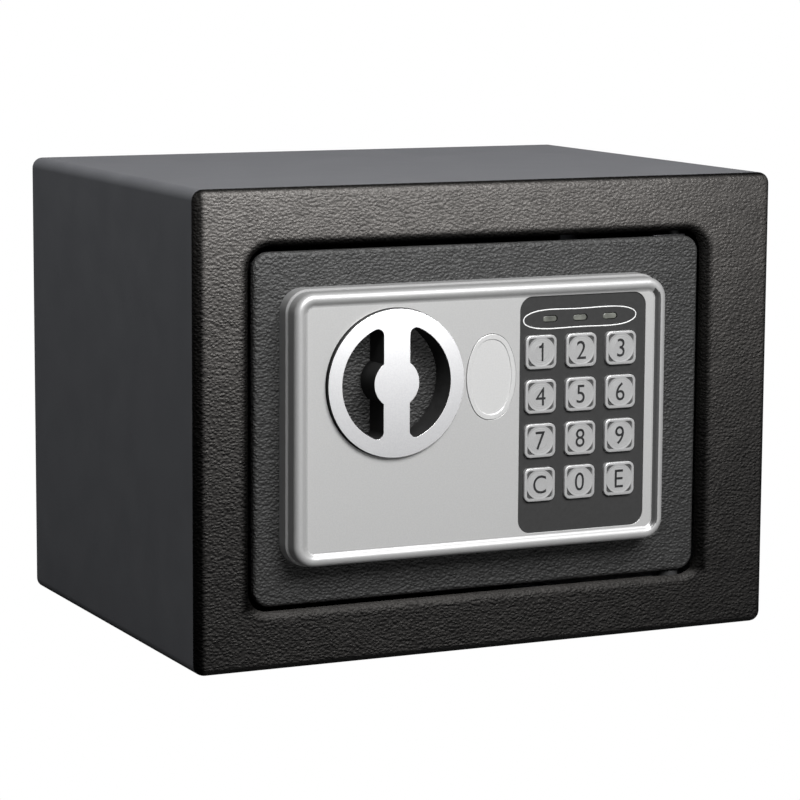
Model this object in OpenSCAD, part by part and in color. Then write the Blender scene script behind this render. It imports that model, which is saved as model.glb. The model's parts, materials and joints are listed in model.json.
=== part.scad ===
// Small electronic safe: welded sheet body, hinged steel door, silver bezel with
// turning knob, oval key cover and twelve-key pad, bolt work behind the door.
// X is to the right seen from the front, Y goes to the back, Z is up.
// The origin is the middle of the base.

/* [Body] */
// Overall width of the body
body_w = 230; // [228:1:300]
// Overall height of the body
body_h = 170; // [168:1:240]
// Depth of the body from the frame's face to the back
body_d = 170; // [140:1:300]
// Thickness of the wrapped body sheet
shell_t = 1; // [0.8:0.1:1.6]
// Outer radius of the body's long corners
corner_r = 4; // [3.5:0.5:8]
// Thickness of the back panel
back_t = 1.5; // [1:0.1:3]
// Depth of the back panel's welded rim
back_rim = 8; // [4:1:20]
// Radius of the anchor holes in the base and the back
anchor_r = 5; // [3:0.5:7]
// Distance between the two anchor holes of a wall
anchor_pitch = 120; // [60:5:160]
// Thickness of the floor mat
mat_t = 1.5; // [1:0.5:4]

/* [Front frame] */
// Thickness of the frame's sheet
frame_t = 1.5; // [1:0.1:1.8]
// Outer radius of the frame's pressed edges
frame_edge_r = 3; // [2.5:0.25:3.5]
// Frame width beside the door's free edge
margin_left = 20.5; // [18:0.5:26]
// Frame width beside the hinges
margin_right = 28; // [26:0.5:34]
// Frame width above and below the door
margin_z = 20.5; // [19:0.5:26]
// Corner radius of the door opening
opening_r = 8; // [7:0.5:12]
// Depth of the opening's return lip
lip_depth = 4.4; // [3.5:0.1:4.4]
// How far the frame's outer return reaches into the body
frame_tuck = 8; // [5:1:14]

/* [Door] */
// Gap between the door and its opening
door_gap = 2; // [1.6:0.1:3]
// Thickness of the door plate
door_t = 3; // [2.5:0.5:4]
// How far the door's face lies behind the frame's face
door_recess = 1.5; // [1:0.25:2]
// Corner radius of the door plate
door_r = 6; // [4:0.5:8]
// Radius of the door's front edge
door_edge_r = 1.5; // [0.5:0.25:2]

/* [Hinge] */
// Radius of the hinge pins
pin_r = 2.5; // [2:0.25:2.5]
// Running clearance of the hinge pins
pin_fit = 0.05; // [0.02:0.01:0.1]
// Distance from the door's hinge edge to the pivot
pivot_inset = 7.5; // [7:0.5:9]
// Distance from the door's back to the pivot
pivot_behind = 3; // [3:0.25:3.5]
// Height of the lugs on the door
lug_h = 9; // [6:1:14]
// Thickness of the hinge brackets
bracket_t = 2; // [1.5:0.5:3]

/* [Bezel] */
// Height of the bezel at the door
bezel_h = 98; // [94:1:104]
// Corner radius of the bezel
bezel_r = 8.5; // [7:0.5:10]
// Height of the bezel's panel above the door
panel_z = 11; // [10.5:0.5:13]
// Thickness of the bezel's panel
panel_t = 2.4; // [2:0.1:3]
// Radius of the bezel's rounded crest
crest_r = 2.3; // [2:0.1:2.5]
// Bezel's centre to the left of the door's centre
bezel_left = 4.75; // [3:0.25:6]
// Bezel's centre above the door's centre
bezel_up = 1; // [0:0.5:2]

/* [Knob] */
// Radius of the knob
knob_r = 26.25; // [24:0.25:27]
// Width of the knob's ring
knob_ring_w = 5.25; // [4:0.25:7]
// Width of the knob's bar
knob_bar_w = 10.1; // [8:0.1:12]
// Radius of the knob's hub
knob_hub_r = 8.65; // [7:0.05:10]
// Height of the knob's face above the door
knob_top = 13; // [12:0.5:15]
// Gap around the knob in the bezel
knob_gap = 0.3; // [0.3:0.1:1]
// Bezel left of the knob's hole
knob_side = 12.65; // [10:0.05:14]
// Height of the knob's and lock's row above the bezel's centre
row_up = 15.2; // [14:0.1:16]
// Radius of the spindle
spindle_r = 4; // [3:0.5:4]
// Running clearance of the spindle
spindle_fit = 0.05; // [0.02:0.01:0.1]

/* [Keypad] */
// Width of the keypad panel
pad_w = 51.3; // [50:0.1:52]
// Height of the keypad panel
pad_h = 85.7; // [84:0.1:87]
// Corner radius of the keypad panel
pad_r = 5; // [3:0.5:7]
// Bezel right of the keypad panel
pad_side = 9.2; // [7:0.1:11]
// Distance between key columns
key_pitch_x = 16.3; // [15:0.1:16.5]
// Distance between key rows
key_pitch_z = 16; // [15:0.1:16.5]
// Width of a key
key_w = 12.4; // [11:0.1:13]
// Height of a key
key_h = 12.2; // [11:0.1:13]
// Corner radius of a key
key_r = 2.3; // [1:0.1:4]
// Gap around a key in the keypad panel
key_gap = 0.25; // [0.2:0.05:0.4]
// How far a key stands above the bezel's panel
key_proud = 0.8; // [0.7:0.1:1.2]

/* [Key lock] */
// Width of the oval cover's hole
oval_w = 20; // [20:0.5:22]
// Height of the oval cover's hole
oval_h = 31; // [28:0.5:33]
// Gap around the oval cover
oval_gap = 0.2; // [0.1:0.05:0.4]
// Web of the bezel beside the oval cover's hole
oval_web = 1.375; // [1.2:0.025:3]
// Radius of the lock's body
lock_r = 8; // [7:0.5:8]
// Radius of the lock's plug
plug_r = 5.5; // [4:0.5:5.5]
// Running clearance of the lock's plug
plug_fit = 0.05; // [0.02:0.01:0.1]

/* [Bolt work] */
// Radius of the two bolts
bolt_r = 7; // [5:0.5:7]
// Running clearance of the bolts in their guide
bolt_fit = 0.05; // [0.02:0.01:0.1]
// Distance of a bolt above or below the door's centre
bolt_offset = 30; // [26:1:34]
// Depth of the bolts' axis behind the door plate
bolt_behind = 9.5; // [8.5:0.5:11]
// Radius of the crank pin's circle
crank_r = 15; // [14:0.5:15]
// Turn of the crank between its two ends
crank_turn = 60; // [50:1:60]
// Radius of the crank pin
crank_pin_r = 3; // [2:0.5:3]
// Gap beside the crank pin in its slot
slot_gap = 0.25; // [0.2:0.05:0.4]
// Thickness of the bolt carrier's sheet
carrier_t = 2; // [1.5:0.5:2.5]
// Radius of the solenoid's plunger
plunger_r = 4; // [3:0.5:4]
// Travel of the solenoid's plunger
plunger_rise = 4; // [3:0.5:4]

/* [Door cover] */
// Thickness of the door cover's sheet
cover_t = 1.2; // [0.8:0.1:2]
// Depth of the door cover
cover_d = 34.5; // [34:0.5:38]
// Radius of an AA battery
cell_r = 7.2; // [7:0.05:7.25]
// Length of an AA battery
cell_len = 50.5; // [49:0.5:50.5]
// Radius of the reset button
reset_r = 4; // [3:0.5:5]

/* [Hidden] */
$fn = 48;
eps = 0.01;

// body and opening
front_y = -body_d / 2;
back_y = body_d / 2;
mid_z = body_h / 2;
open_x0 = -body_w / 2 + margin_left;
open_x1 = body_w / 2 - margin_right;
open_w = open_x1 - open_x0;
open_h = body_h - 2 * margin_z;
open_x = (open_x0 + open_x1) / 2;
open_z1 = body_h - margin_z;
frame_back = front_y + frame_t;
mat_hole_r = anchor_r + 2;

// door plate
door_x0 = open_x0 + door_gap;
door_x1 = open_x1 - door_gap;
door_w = open_w - 2 * door_gap;
door_h = open_h - 2 * door_gap;
door_front = front_y + door_recess;
door_back = door_front + door_t;
door_z1 = open_z1 - door_gap;

// hinge, described at the top and mirrored to the bottom
pivot_x = door_x1 - pivot_inset;
pivot_y = door_back + pivot_behind;
bracket_z = open_z1 + frame_edge_r + 0.5;
bracket_half = 10.5;
bracket_leg = 11.5;
bracket_reach = 6.5;
pin_head_r = 4;
pin_head_t = 1.5;
pin_depth = 6.5;
lug_z = door_z1 + 0.5;
lug_r = 4.5;
lug_back = 4;
lug_len = 10;
spacer_r = 4;
spacer_play = 0.1;
notch_half = 8;

// bezel, heights counted from the door's face; its width is what stands side by side on it
knob_hole_r = knob_r + knob_gap;
bezel_w = knob_side + 2 * knob_hole_r + 2 * oval_web + oval_w + pad_w + pad_side;
bezel_x = open_x - bezel_left;
bezel_z = mid_z + bezel_up;
bezel_t = 1.8;
ledge_z = 5.2;
ledge_in = 0.7;
ledge_rise = 0.8;
wall_draft = 0.1;
crest_in = wall_draft + ledge_in + wall_draft + crest_r;
crest_z = panel_z - 1.1;
cove_turn = 140;
rim_w = 6;
collar_t = 1.5;
boss_r = 3.1;
screw_r = 1.5;
screw_hole_r = 1.7;
screw_head_r = 2.8;
screw_head_t = 1.8;
screw_grip = 6;
boss_in_left = 11;
boss_in_right = 6.4;
boss_in_z = 8;
bezel_bosses = [
    for (x = [bezel_x - bezel_w / 2 + boss_in_left, bezel_x + bezel_w / 2 - boss_in_right])
        for (s = [-1, 1]) [x, bezel_z + s * (bezel_h / 2 - boss_in_z)]
];

// knob, spindle and crank
knob_x = bezel_x - bezel_w / 2 + knob_side + knob_hole_r;
row_z = bezel_z + row_up;
knob_floor = 1.2;
knob_ring_r = knob_r - knob_ring_w;
socket_top = 9;
bush_r = 6;
bush_flange_r = 8;
bush_flange_t = 0.7;
cam_front = door_back + 0.6;
cam_t = 2.5;
cam_hub_r = 11;
cam_end_r = 5.5;
clip_r = 7;
clip_t = 0.8;
spindle_end = cam_front + cam_t + clip_t + 0.6;
half_turn = crank_turn / 2;
crank_x = knob_x + crank_r * sin(half_turn);
crank_z = row_z + crank_r * cos(half_turn);
throw = 1.009 * 2 * crank_r * sin(half_turn);

// keypad, heights counted from the door's face
pad_x = bezel_x + bezel_w / 2 - pad_side - pad_w / 2;
pad_z = bezel_z + 0.35;
pad_t = 1.2;
pad_sink = 0.4;
pad_ledge = 1.2;
keys_x = pad_x - 1.05;
keys_z = pad_z - 1.2;
lights_z = pad_z + 34.45;
lights_pitch = 12.2;
light_len = 5.6;
light_r = 1.1;
light_gap = 0.15;
light_top = 10.3;
key_bottom = 8.4;
key_flange_t = 0.9;
key_flange_out = 0.5;
dish_r = 5.4;
dish_depth = 0.45;
mat_bottom = 5.8;
mat_base_t = 1;
key_pad_r = 4;
key_pad_t = 0.8;
board_t = 1.6;
board_in = 1;
board_z0 = mat_bottom - board_t;
spacer_tube_r = 2;
spacer_in = 4;
key_names = [["1", "2", "3"], ["4", "5", "6"], ["7", "8", "9"], ["c", "0", "e"]];

// key lock
oval_x = knob_x + knob_hole_r + oval_web + oval_w / 2;
oval_end_r = 0.8 * oval_w / 2;
lock_face = 6.5;
lock_collar_r = 9.2;
lock_back = door_back + 13.5;
lock_hole_gap = 0.2;
nut_r = 12;
nut_t = 3;
plug_neck_r = 4;
cam_arm = 18;
lock_cam_t = 2;
lock_cam_gap = 0.3;
cover_bottom = 8.2;
cover_step = 0.3;
cover_border = 1.8;
oval_wall = 1.2;
oval_wall_z = 4;

// door cover, drawn from the door plate backwards
cover_y1 = door_back + cover_d;
cover_inner_y = cover_y1 - cover_t;
cover_x0 = door_x0 + 2.9;
cover_x1 = pivot_x - lug_len - 1.5;
cover_w = cover_x1 - cover_x0;
cover_h = door_h - 9;
cover_x = (cover_x0 + cover_x1) / 2;
cover_r = 4;
post_r = 3;
posts = [
    for (x = [cover_x0 + 11.6, cover_x1 - 5]) for (s = [-1, 1]) [x, mid_z + s * (cover_h / 2 - 7)]
];

// bolts and carrier
bolt_y = door_back + bolt_behind;
bolt_tip = door_x0 + 1.5;
guide_x = cover_x0 + cover_t + 0.4;
guide_t = 2;
guide_foot = 8;
guide_foot_t = 1.2;
carrier_y = door_back + 5;
carrier_x0 = guide_x + guide_t + throw + 0.9;
carrier_low = mid_z - bolt_offset - 9;
carrier_high = mid_z + bolt_offset + 9;
carrier_back = bolt_y + 9;
shank_r = 4;
bolt_nut_r = 6.5;
bolt_nut_t = 3;
nut_window = 8;
strut_w = 16;
solenoid_x = min(knob_x + 5.8, oval_x - lock_r - throw - 9);
carrier_edge = row_z - 13.2;
notch_w = 2 * plunger_r;
notch_d = plunger_rise + 1;
carrier_x1 = solenoid_x + throw + notch_w / 2 + 3;
slot_low = crank_z - crank_pin_r - 0.3;
slot_high = row_z + crank_r + crank_pin_r + 0.3;
stud_r = 3;
stud_head_r = 5;
stud_x = max(knob_x - 17.2, carrier_x0 + carrier_t + stud_head_r + 0.5);
stud_z = row_z - 1.2;
stud_head_t = 1.2;

// solenoid
plunger_y = carrier_y + plunger_r;
plunger_tip = carrier_edge - 0.5;
plunger_len = 27.5;
coil_r = 7.5;
coil_len = 25.6;
sol_wall = 1.2;
sol_w = 16;
sol_top = plunger_tip - 9.5;
sol_bottom = sol_top - coil_len - 2 * sol_wall;
ring_t = 1;
ring_r = 6;
ring_z = plunger_tip - 5.5;
spring_r = 5;
spring_wire = 0.6;
spring_turns = 4;

// batteries
cell_pitch = 15;
cell_count = 4;
tray_t = 1.2;
tray_w = 60;
tray_h = cell_count * cell_pitch + 3;
tray_d = 18.6;
tray_x1 = cover_x1 - 10;
tray_x = tray_x1 - tray_w / 2;
tray_z0 = mid_z - cover_h / 2 + 2.5;
tray_z = tray_z0 + tray_h / 2;
cell_y = cover_inner_y - 9.3;
lid_in = 3;
lid_gap = 0.3;
contact_t = 0.5;
contact_w = 10;

// reset button and wiring
reset_x = cover_x1 - 16;
reset_z = row_z + 16.8;
reset_proud = 1.5;
reset_flange_r = reset_r + 1.5;
reset_cup_r = reset_flange_r + 0.8;
reset_stem = 6;
wire_r = 1.6;
wire_x = pad_x - 1;
wire_z = mid_z + 25;
wire_y = cover_inner_y - 13;
grommet_r = 4;

module rounded_rect(w, h, r) {
    square([w - 2 * r, h], center = true);
    square([w, h - 2 * r], center = true);
    for (sx = [-1, 1], sy = [-1, 1]) translate([sx * (w / 2 - r), sy * (h / 2 - r)]) circle(r);
}

// sweeps a section round a rounded rectangle; the section's X is r at the outline
module rim(w, h, r) {
    for (k = [0:3]) rotate(90 * k) {
        across = k % 2 == 0 ? w : h;
        along = k % 2 == 0 ? h : w;
        translate([across / 2 - r, along / 2 - r, 0]) {
            rotate_extrude(angle = 90) children();
            rotate([90, 0, 0]) linear_extrude(along - 2 * r) children();
        }
    }
}

module quarter(r, t) {
    intersection() {
        difference() {
            circle(r);
            circle(r - t);
        }
        square(r);
    }
}

// an oval of four arcs, w wide and h high
module oval(w, h) {
    end_r = oval_end_r * w / oval_w;
    rise = h / 2 - end_r;
    side_r = (rise * rise + w * w / 4 - end_r * end_r) / (w - 2 * end_r);
    tangent = rise + end_r * rise / (side_r - end_r);
    for (s = [-1, 1]) translate([0, s * rise]) circle(end_r);
    intersection() {
        translate([w / 2 - side_r, 0]) circle(side_r, $fn = 96);
        translate([side_r - w / 2, 0]) circle(side_r, $fn = 96);
        square([w, 2 * tangent], center = true);
    }
}

// a slot shape len long, with round ends of radius r, grown by a gap
module oblong(len, r, gap = 0) {
    square([len - 2 * r, 2 * (r + gap)], center = true);
    for (s = [-1, 1]) translate([s * (len / 2 - r), 0]) circle(r + gap);
}

// turns a front view into place: its Z rises towards the viewer from depth y
module facing(y) translate([0, y, 0]) rotate([90, 0, 0]) children();

// a front view on the door's face
module on_door(h = 0) facing(door_front - h) children();

// a round piece along Y from depth y0 back to depth y1
module rod(x, z, y0, y1, r) translate([x, y1, z]) rotate([90, 0, 0]) cylinder(r = r, h = y1 - y0);

module block(a, b) translate(a) cube(b - a);

// repeats a piece of the top half at the bottom
module below() translate([0, 0, body_h]) mirror([0, 0, 1]) children();

module anchor_pair(r, depth) {
    for (s = [-1, 1]) translate([s * anchor_pitch / 2, 0, -depth / 2]) cylinder(r = r, h = depth);
}

module body_shell() {
    color("#3b3d41") difference() {
        facing(back_y) translate([0, mid_z]) linear_extrude(body_d - frame_edge_r) difference() {
            rounded_rect(body_w, body_h, corner_r);
            rounded_rect(body_w - 2 * shell_t, body_h - 2 * shell_t, corner_r - shell_t);
        }
        anchor_pair(anchor_r, 4 * shell_t);
    }
}

module back_panel() {
    w = body_w - 2 * shell_t;
    h = body_h - 2 * shell_t;
    r = corner_r - shell_t;
    color("#34363a") difference() {
        facing(back_y) translate([0, mid_z]) {
            linear_extrude(back_t) rounded_rect(w, h, r);
            linear_extrude(back_rim) difference() {
                rounded_rect(w, h, r);
                rounded_rect(w - 2 * back_t, h - 2 * back_t, r - back_t);
            }
        }
        translate([0, back_y, mid_z]) rotate([90, 0, 0]) anchor_pair(anchor_r, 4 * back_t);
    }
}

module front_frame() {
    color("#26272a") difference() {
        facing(front_y) {
            translate([0, mid_z]) rim(body_w, body_h, corner_r) {
                translate([corner_r - frame_edge_r, -frame_edge_r]) quarter(frame_edge_r, frame_t);
                translate([corner_r - shell_t - frame_t, -frame_tuck]) square([frame_t, frame_tuck - frame_t]);
            }
            translate([open_x, mid_z]) rim(open_w, open_h, opening_r) {
                translate([opening_r + frame_edge_r, -frame_edge_r]) mirror([1, 0])
                    quarter(frame_edge_r, frame_t);
                translate([opening_r, -lip_depth]) square([frame_t, lip_depth - frame_edge_r]);
            }
            translate([0, mid_z, -frame_t]) linear_extrude(frame_t) difference() {
                rounded_rect(body_w - 2 * frame_edge_r, body_h - 2 * frame_edge_r, corner_r - frame_edge_r);
                translate([open_x, 0]) rounded_rect(open_w + 2 * frame_edge_r, open_h + 2 * frame_edge_r,
                                                    opening_r + frame_edge_r);
            }
        }
        // the lip is cut back beside the hinge pins
        translate([pivot_x - notch_half, front_y + frame_edge_r, margin_z - 2 * frame_t])
            cube([2 * notch_half, lip_depth, open_h + 4 * frame_t]);
    }
}

module floor_mat() {
    side = body_w / 2 - max(corner_r, shell_t + frame_t);
    color("#1d1d1f") difference() {
        block([-side, front_y + frame_tuck + 1, shell_t], [side, back_y - back_rim - 1, shell_t + mat_t]);
        translate([0, 0, shell_t]) anchor_pair(mat_hole_r, 4 * mat_t);
    }
}

module hinge_bracket_upper() {
    color("#55575b") difference() {
        union() {
            block([pivot_x - bracket_half, frame_back, bracket_z],
                  [pivot_x + bracket_half, pivot_y + bracket_reach, bracket_z + bracket_t]);
            block([pivot_x - bracket_half, frame_back, bracket_z],
                  [pivot_x + bracket_half, frame_back + bracket_t, bracket_z + bracket_leg]);
        }
        translate([pivot_x, pivot_y, bracket_z - 1]) cylinder(r = pin_r, h = bracket_t + 2);
    }
}

module hinge_bracket_lower() below() hinge_bracket_upper();

module hinge_pin() {
    bottom = lug_z - pin_depth;
    translate([pivot_x, pivot_y, bottom]) cylinder(r = pin_r, h = bracket_z + bracket_t - bottom);
    translate([pivot_x, pivot_y, bracket_z + bracket_t]) cylinder(r = pin_head_r, h = pin_head_t);
}

module hinge_pins() {
    color("#3a3b3e") {
        hinge_pin();
        below() hinge_pin();
    }
}

module hinge_spacer() {
    color("#17181a") below() translate([pivot_x, pivot_y, lug_z + spacer_play]) difference() {
        cylinder(r = spacer_r, h = bracket_z - lug_z - spacer_play);
        translate([0, 0, -1]) cylinder(r = pin_r + pin_fit, h = bracket_z - lug_z + 2);
    }
}

module door_plate() {
    color("#242528") difference() {
        on_door() translate([open_x, mid_z]) {
            translate([0, 0, -door_t]) linear_extrude(door_t - door_edge_r) rounded_rect(door_w, door_h, door_r);
            translate([0, 0, -door_edge_r]) linear_extrude(door_edge_r)
                rounded_rect(door_w - 2 * door_edge_r, door_h - 2 * door_edge_r, door_r - door_edge_r);
            rim(door_w, door_h, door_r) translate([door_r - door_edge_r, -door_edge_r]) intersection() {
                circle(door_edge_r);
                square(door_edge_r);
            }
        }
        rod(knob_x, row_z, door_front - 1, door_back + 1, bush_r);
        rod(oval_x, row_z, door_front - 1, door_back + 1, lock_r + lock_hole_gap);
        rod(wire_x, wire_z, door_front - 1, door_back + 1, grommet_r);
        for (p = bezel_bosses) rod(p[0], p[1], door_front - 1, door_back + 1, screw_hole_r);
    }
}

module hinge_lug() {
    translate([0, 0, lug_z - lug_h]) linear_extrude(lug_h) difference() {
        union() {
            translate([pivot_x - lug_len, door_back]) square([lug_len, pivot_behind + lug_back]);
            intersection() {
                translate([pivot_x, pivot_y]) circle(lug_r);
                translate([pivot_x - lug_r, door_back]) square([2 * lug_r, pivot_behind + lug_back]);
            }
        }
        translate([pivot_x, pivot_y]) circle(pin_r + pin_fit);
    }
}

module hinge_lugs() {
    color("#5a5c60") {
        hinge_lug();
        below() hinge_lug();
    }
}

// the wall has a small ledge at half height, a round crest and a cove down to the panel
module bezel_section() {
    crest_x = bezel_r - crest_in;
    cove_x = crest_x + crest_r * cos(cove_turn);
    cove_z = crest_z + crest_r * sin(cove_turn);
    translate([crest_x, crest_z]) circle(crest_r);
    polygon([
        [bezel_r, 0], [bezel_r - wall_draft, ledge_z], [bezel_r - wall_draft - ledge_in, ledge_z + ledge_rise],
        [crest_x + crest_r, crest_z], [crest_x, crest_z], [cove_x, cove_z],
        [(cove_x + bezel_r - rim_w) / 2, (cove_z + panel_z) / 2 - 0.1], [bezel_r - rim_w, panel_z],
        [bezel_r - rim_w, panel_z - panel_t], [crest_x, panel_z - panel_t], [bezel_r - bezel_t, 0]
    ]);
}

module bezel() {
    inset = rim_w - 1;
    color("#b9bbbd") difference() {
        on_door() {
            translate([bezel_x, bezel_z]) rim(bezel_w, bezel_h, bezel_r) bezel_section();
            translate([bezel_x, bezel_z, panel_z - panel_t]) linear_extrude(panel_t)
                rounded_rect(bezel_w - 2 * inset, bezel_h - 2 * inset, bezel_r - inset);
            translate([knob_x, row_z, 1]) cylinder(r = knob_hole_r + collar_t, h = panel_z - 1 - eps);
            translate([oval_x, row_z, oval_wall_z]) linear_extrude(panel_z - oval_wall_z - eps)
                oval(oval_w + 2 * oval_wall, oval_h + 2 * oval_wall);
            for (p = bezel_bosses) translate([p[0], p[1], 0]) cylinder(r = boss_r, h = panel_z - panel_t + eps);
        }
        on_door() {
            translate([knob_x, row_z, -1]) cylinder(r = knob_hole_r, h = panel_z + 3);
            translate([oval_x, row_z, -1]) linear_extrude(panel_z + 3) oval(oval_w, oval_h);
            translate([pad_x, pad_z, panel_z - pad_t - pad_sink]) linear_extrude(panel_t)
                rounded_rect(pad_w, pad_h, pad_r);
            translate([pad_x, pad_z, -1]) linear_extrude(panel_z + 3)
                rounded_rect(pad_w - 2 * pad_ledge, pad_h - 2 * pad_ledge, pad_r - pad_ledge);
            for (p = bezel_bosses) translate([p[0], p[1], -1]) cylinder(r = screw_r, h = screw_grip + 1);
        }
    }
}

module bezel_screws() {
    color("#8a8c90") for (p = bezel_bosses) {
        rod(p[0], p[1], door_front - screw_grip, door_back, screw_r);
        rod(p[0], p[1], door_back, door_back + screw_head_t, screw_head_r);
    }
}

module keypad_panel() {
    color("#303133") on_door() translate([0, 0, panel_z - pad_sink - pad_t]) linear_extrude(pad_t) difference() {
        translate([pad_x, pad_z]) rounded_rect(pad_w, pad_h, pad_r);
        for (i = [-1:1], j = [0:3]) translate([keys_x + i * key_pitch_x, keys_z + (j - 1.5) * key_pitch_z])
            rounded_rect(key_w + 2 * key_gap, key_h + 2 * key_gap, key_r + key_gap);
        for (i = [-1:1]) translate([keys_x + i * lights_pitch, lights_z]) oblong(light_len, light_r, light_gap);
    }
}

module keypad_mat() {
    color("#6d6f72") on_door() difference() {
        union() {
            translate([pad_x, pad_z, mat_bottom]) linear_extrude(mat_base_t)
                rounded_rect(pad_w - 2 * pad_ledge, pad_h - 2 * pad_ledge, pad_r - pad_ledge);
            for (i = [-1:1], j = [0:3])
                translate([keys_x + i * key_pitch_x, keys_z + (j - 1.5) * key_pitch_z, mat_bottom + mat_base_t - eps])
                    cylinder(r = key_pad_r, h = key_pad_t);
        }
        for (i = [-1:1]) translate([keys_x + i * lights_pitch, lights_z, 0]) linear_extrude(panel_z)
            oblong(light_len, light_r, light_gap);
    }
}

module circuit_board() {
    color("#2e6b3a") on_door() {
        translate([pad_x, pad_z, board_z0]) linear_extrude(board_t)
            square([pad_w - 2 * board_in, pad_h - 2 * board_in], center = true);
        // processor, resistor row and beeper on the back
        translate([pad_x - 8, pad_z - 12, board_z0 - 1.6]) cube([14, 10, 1.6 + eps]);
        for (i = [0:4]) translate([pad_x - 18 + 4 * i, pad_z - 26, board_z0 - 1]) cube([1.6, 3.2, 1 + eps]);
        translate([pad_x + 13, pad_z - 24, board_z0 - 3]) cylinder(r = 6, h = 3 + eps);
    }
}

module board_spacers() {
    reach_x = pad_w / 2 - board_in - spacer_in;
    reach_z = pad_h / 2 - board_in - spacer_in;
    color("#d8d4c8") on_door() for (sx = [-1, 1], sz = [-1, 1])
        translate([pad_x + sx * reach_x, pad_z + sz * reach_z, 0]) difference() {
            cylinder(r = spacer_tube_r, h = board_z0);
            translate([0, 0, -1]) cylinder(r = 1, h = board_z0 + 2);
        }
}

module status_lights() {
    color("#9fae7a") on_door() for (i = [-1:1])
        translate([keys_x + i * lights_pitch, lights_z, mat_bottom]) linear_extrude(light_top - mat_bottom)
            oblong(light_len, light_r);
}

module spindle_bush() {
    color("#c8b060") difference() {
        union() {
            rod(knob_x, row_z, door_front - eps, door_back, bush_r);
            rod(knob_x, row_z, door_front - bush_flange_t, door_front, bush_flange_r);
        }
        rod(knob_x, row_z, door_front - 2, door_back + 1, spindle_r + spindle_fit);
    }
}

module bolt_guide() {
    low = carrier_low - 2;
    high = carrier_high + 2;
    color("#6b6d72") difference() {
        union() {
            block([guide_x, door_back, low], [guide_x + guide_t, carrier_back, high]);
            block([guide_x, door_back, low], [guide_x + guide_foot, door_back + guide_foot_t, high]);
        }
        for (s = [-1, 1]) translate([guide_x - 1, bolt_y, mid_z + s * bolt_offset]) rotate([0, 90, 0])
            cylinder(r = bolt_r + bolt_fit, h = guide_t + 2);
    }
}

module carrier_stud() {
    head_y = carrier_y + carrier_t + 0.3;
    color("#a7a9ad") {
        rod(stud_x, stud_z, door_back, head_y + eps, stud_r);
        rod(stud_x, stud_z, head_y, head_y + stud_head_t, stud_head_r);
    }
}

module lock_housing() {
    color("#c4c6c8") difference() {
        union() {
            rod(oval_x, row_z, door_front - lock_face, door_front, lock_collar_r);
            rod(oval_x, row_z, door_front - eps, lock_back, lock_r);
        }
        rod(oval_x, row_z, door_front - lock_face - 1, lock_back + 1, plug_r + plug_fit);
    }
}

module lock_nut() {
    color("#b4b6b9") difference() {
        translate([oval_x, door_back + nut_t, row_z]) rotate([90, 0, 0]) cylinder(r = nut_r, h = nut_t, $fn = 6);
        rod(oval_x, row_z, door_back - 1, door_back + nut_t + 1, lock_r);
    }
}

module lock_plug() {
    top = door_front - lock_face - 0.2;
    neck = lock_back + lock_cam_gap;
    color("#d9dadb") difference() {
        union() {
            rod(oval_x, row_z, top, neck, plug_r);
            rod(oval_x, row_z, neck - eps, neck + lock_cam_t, plug_neck_r);
            rod(oval_x, row_z, neck + lock_cam_t, neck + lock_cam_t + 1.5, plug_r);
        }
        block([oval_x - 0.9, top - 1, row_z - 3.5], [oval_x + 0.9, top + 9, row_z + 3.5]);
    }
}

module lock_cam() {
    y0 = lock_back + lock_cam_gap;
    color("#8f9195") difference() {
        union() {
            rod(oval_x, row_z, y0, y0 + lock_cam_t, lock_r);
            rod(oval_x, row_z + cam_arm - 5, y0, y0 + lock_cam_t, 5);
            block([oval_x - 5, y0, row_z], [oval_x + 5, y0 + lock_cam_t, row_z + cam_arm - 5]);
        }
        rod(oval_x, row_z, y0 - 1, y0 + lock_cam_t + 1, plug_neck_r);
    }
}

module keyhole_cover() {
    w = oval_w - 2 * oval_gap;
    h = oval_h - 2 * oval_gap;
    color("#b4b6b8") on_door() translate([oval_x, row_z]) {
        translate([0, 0, cover_bottom]) linear_extrude(panel_z - cover_bottom) oval(w, h);
        translate([0, 0, panel_z - eps]) linear_extrude(cover_step + eps) difference() {
            oval(w, h);
            oval(w - 2 * cover_border, h - 2 * cover_border);
        }
        for (s = [-1, 1]) translate([-3, s * (h / 2 - 1.9) - 0.6, cover_bottom - 2]) cube([6, 1.2, 2 + eps]);
    }
}

module knob() {
    color("#c6c8ca") difference() {
        on_door(knob_floor) translate([knob_x, row_z]) linear_extrude(knob_top - knob_floor) {
            difference() {
                circle(knob_r, $fn = 96);
                circle(knob_ring_r, $fn = 96);
            }
            circle(knob_hub_r);
            square([knob_bar_w, 2 * knob_ring_r + 2], center = true);
        }
        rod(knob_x, row_z, door_front - socket_top, door_front, spindle_r);
    }
}

module knob_spindle() {
    color("#a9abae") rod(knob_x, row_z, door_front - socket_top, spindle_end, spindle_r);
}

module drive_cam() {
    y1 = cam_front + cam_t;
    web = 1.6 * cam_end_r;
    color("#7f8185") {
        facing(y1) translate([knob_x, row_z]) linear_extrude(cam_t) difference() {
            union() {
                circle(cam_hub_r);
                rotate(-half_turn) {
                    translate([0, crank_r]) circle(cam_end_r);
                    translate([-web / 2, 0]) square([web, crank_r]);
                }
            }
            circle(spindle_r);
        }
        rod(crank_x, crank_z, cam_front + 1, carrier_y + carrier_t + 0.6, crank_pin_r);
    }
}

module spindle_clip() {
    y0 = cam_front + cam_t;
    color("#d0d2d4") difference() {
        rod(knob_x, row_z, y0, y0 + clip_t, clip_r);
        rod(knob_x, row_z, y0 - 1, y0 + clip_t + 1, spindle_r);
        block([knob_x - 1.5, y0 - 1, row_z - clip_r - 1], [knob_x + 1.5, y0 + clip_t + 1, row_z - spindle_r + 1]);
    }
}

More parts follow.
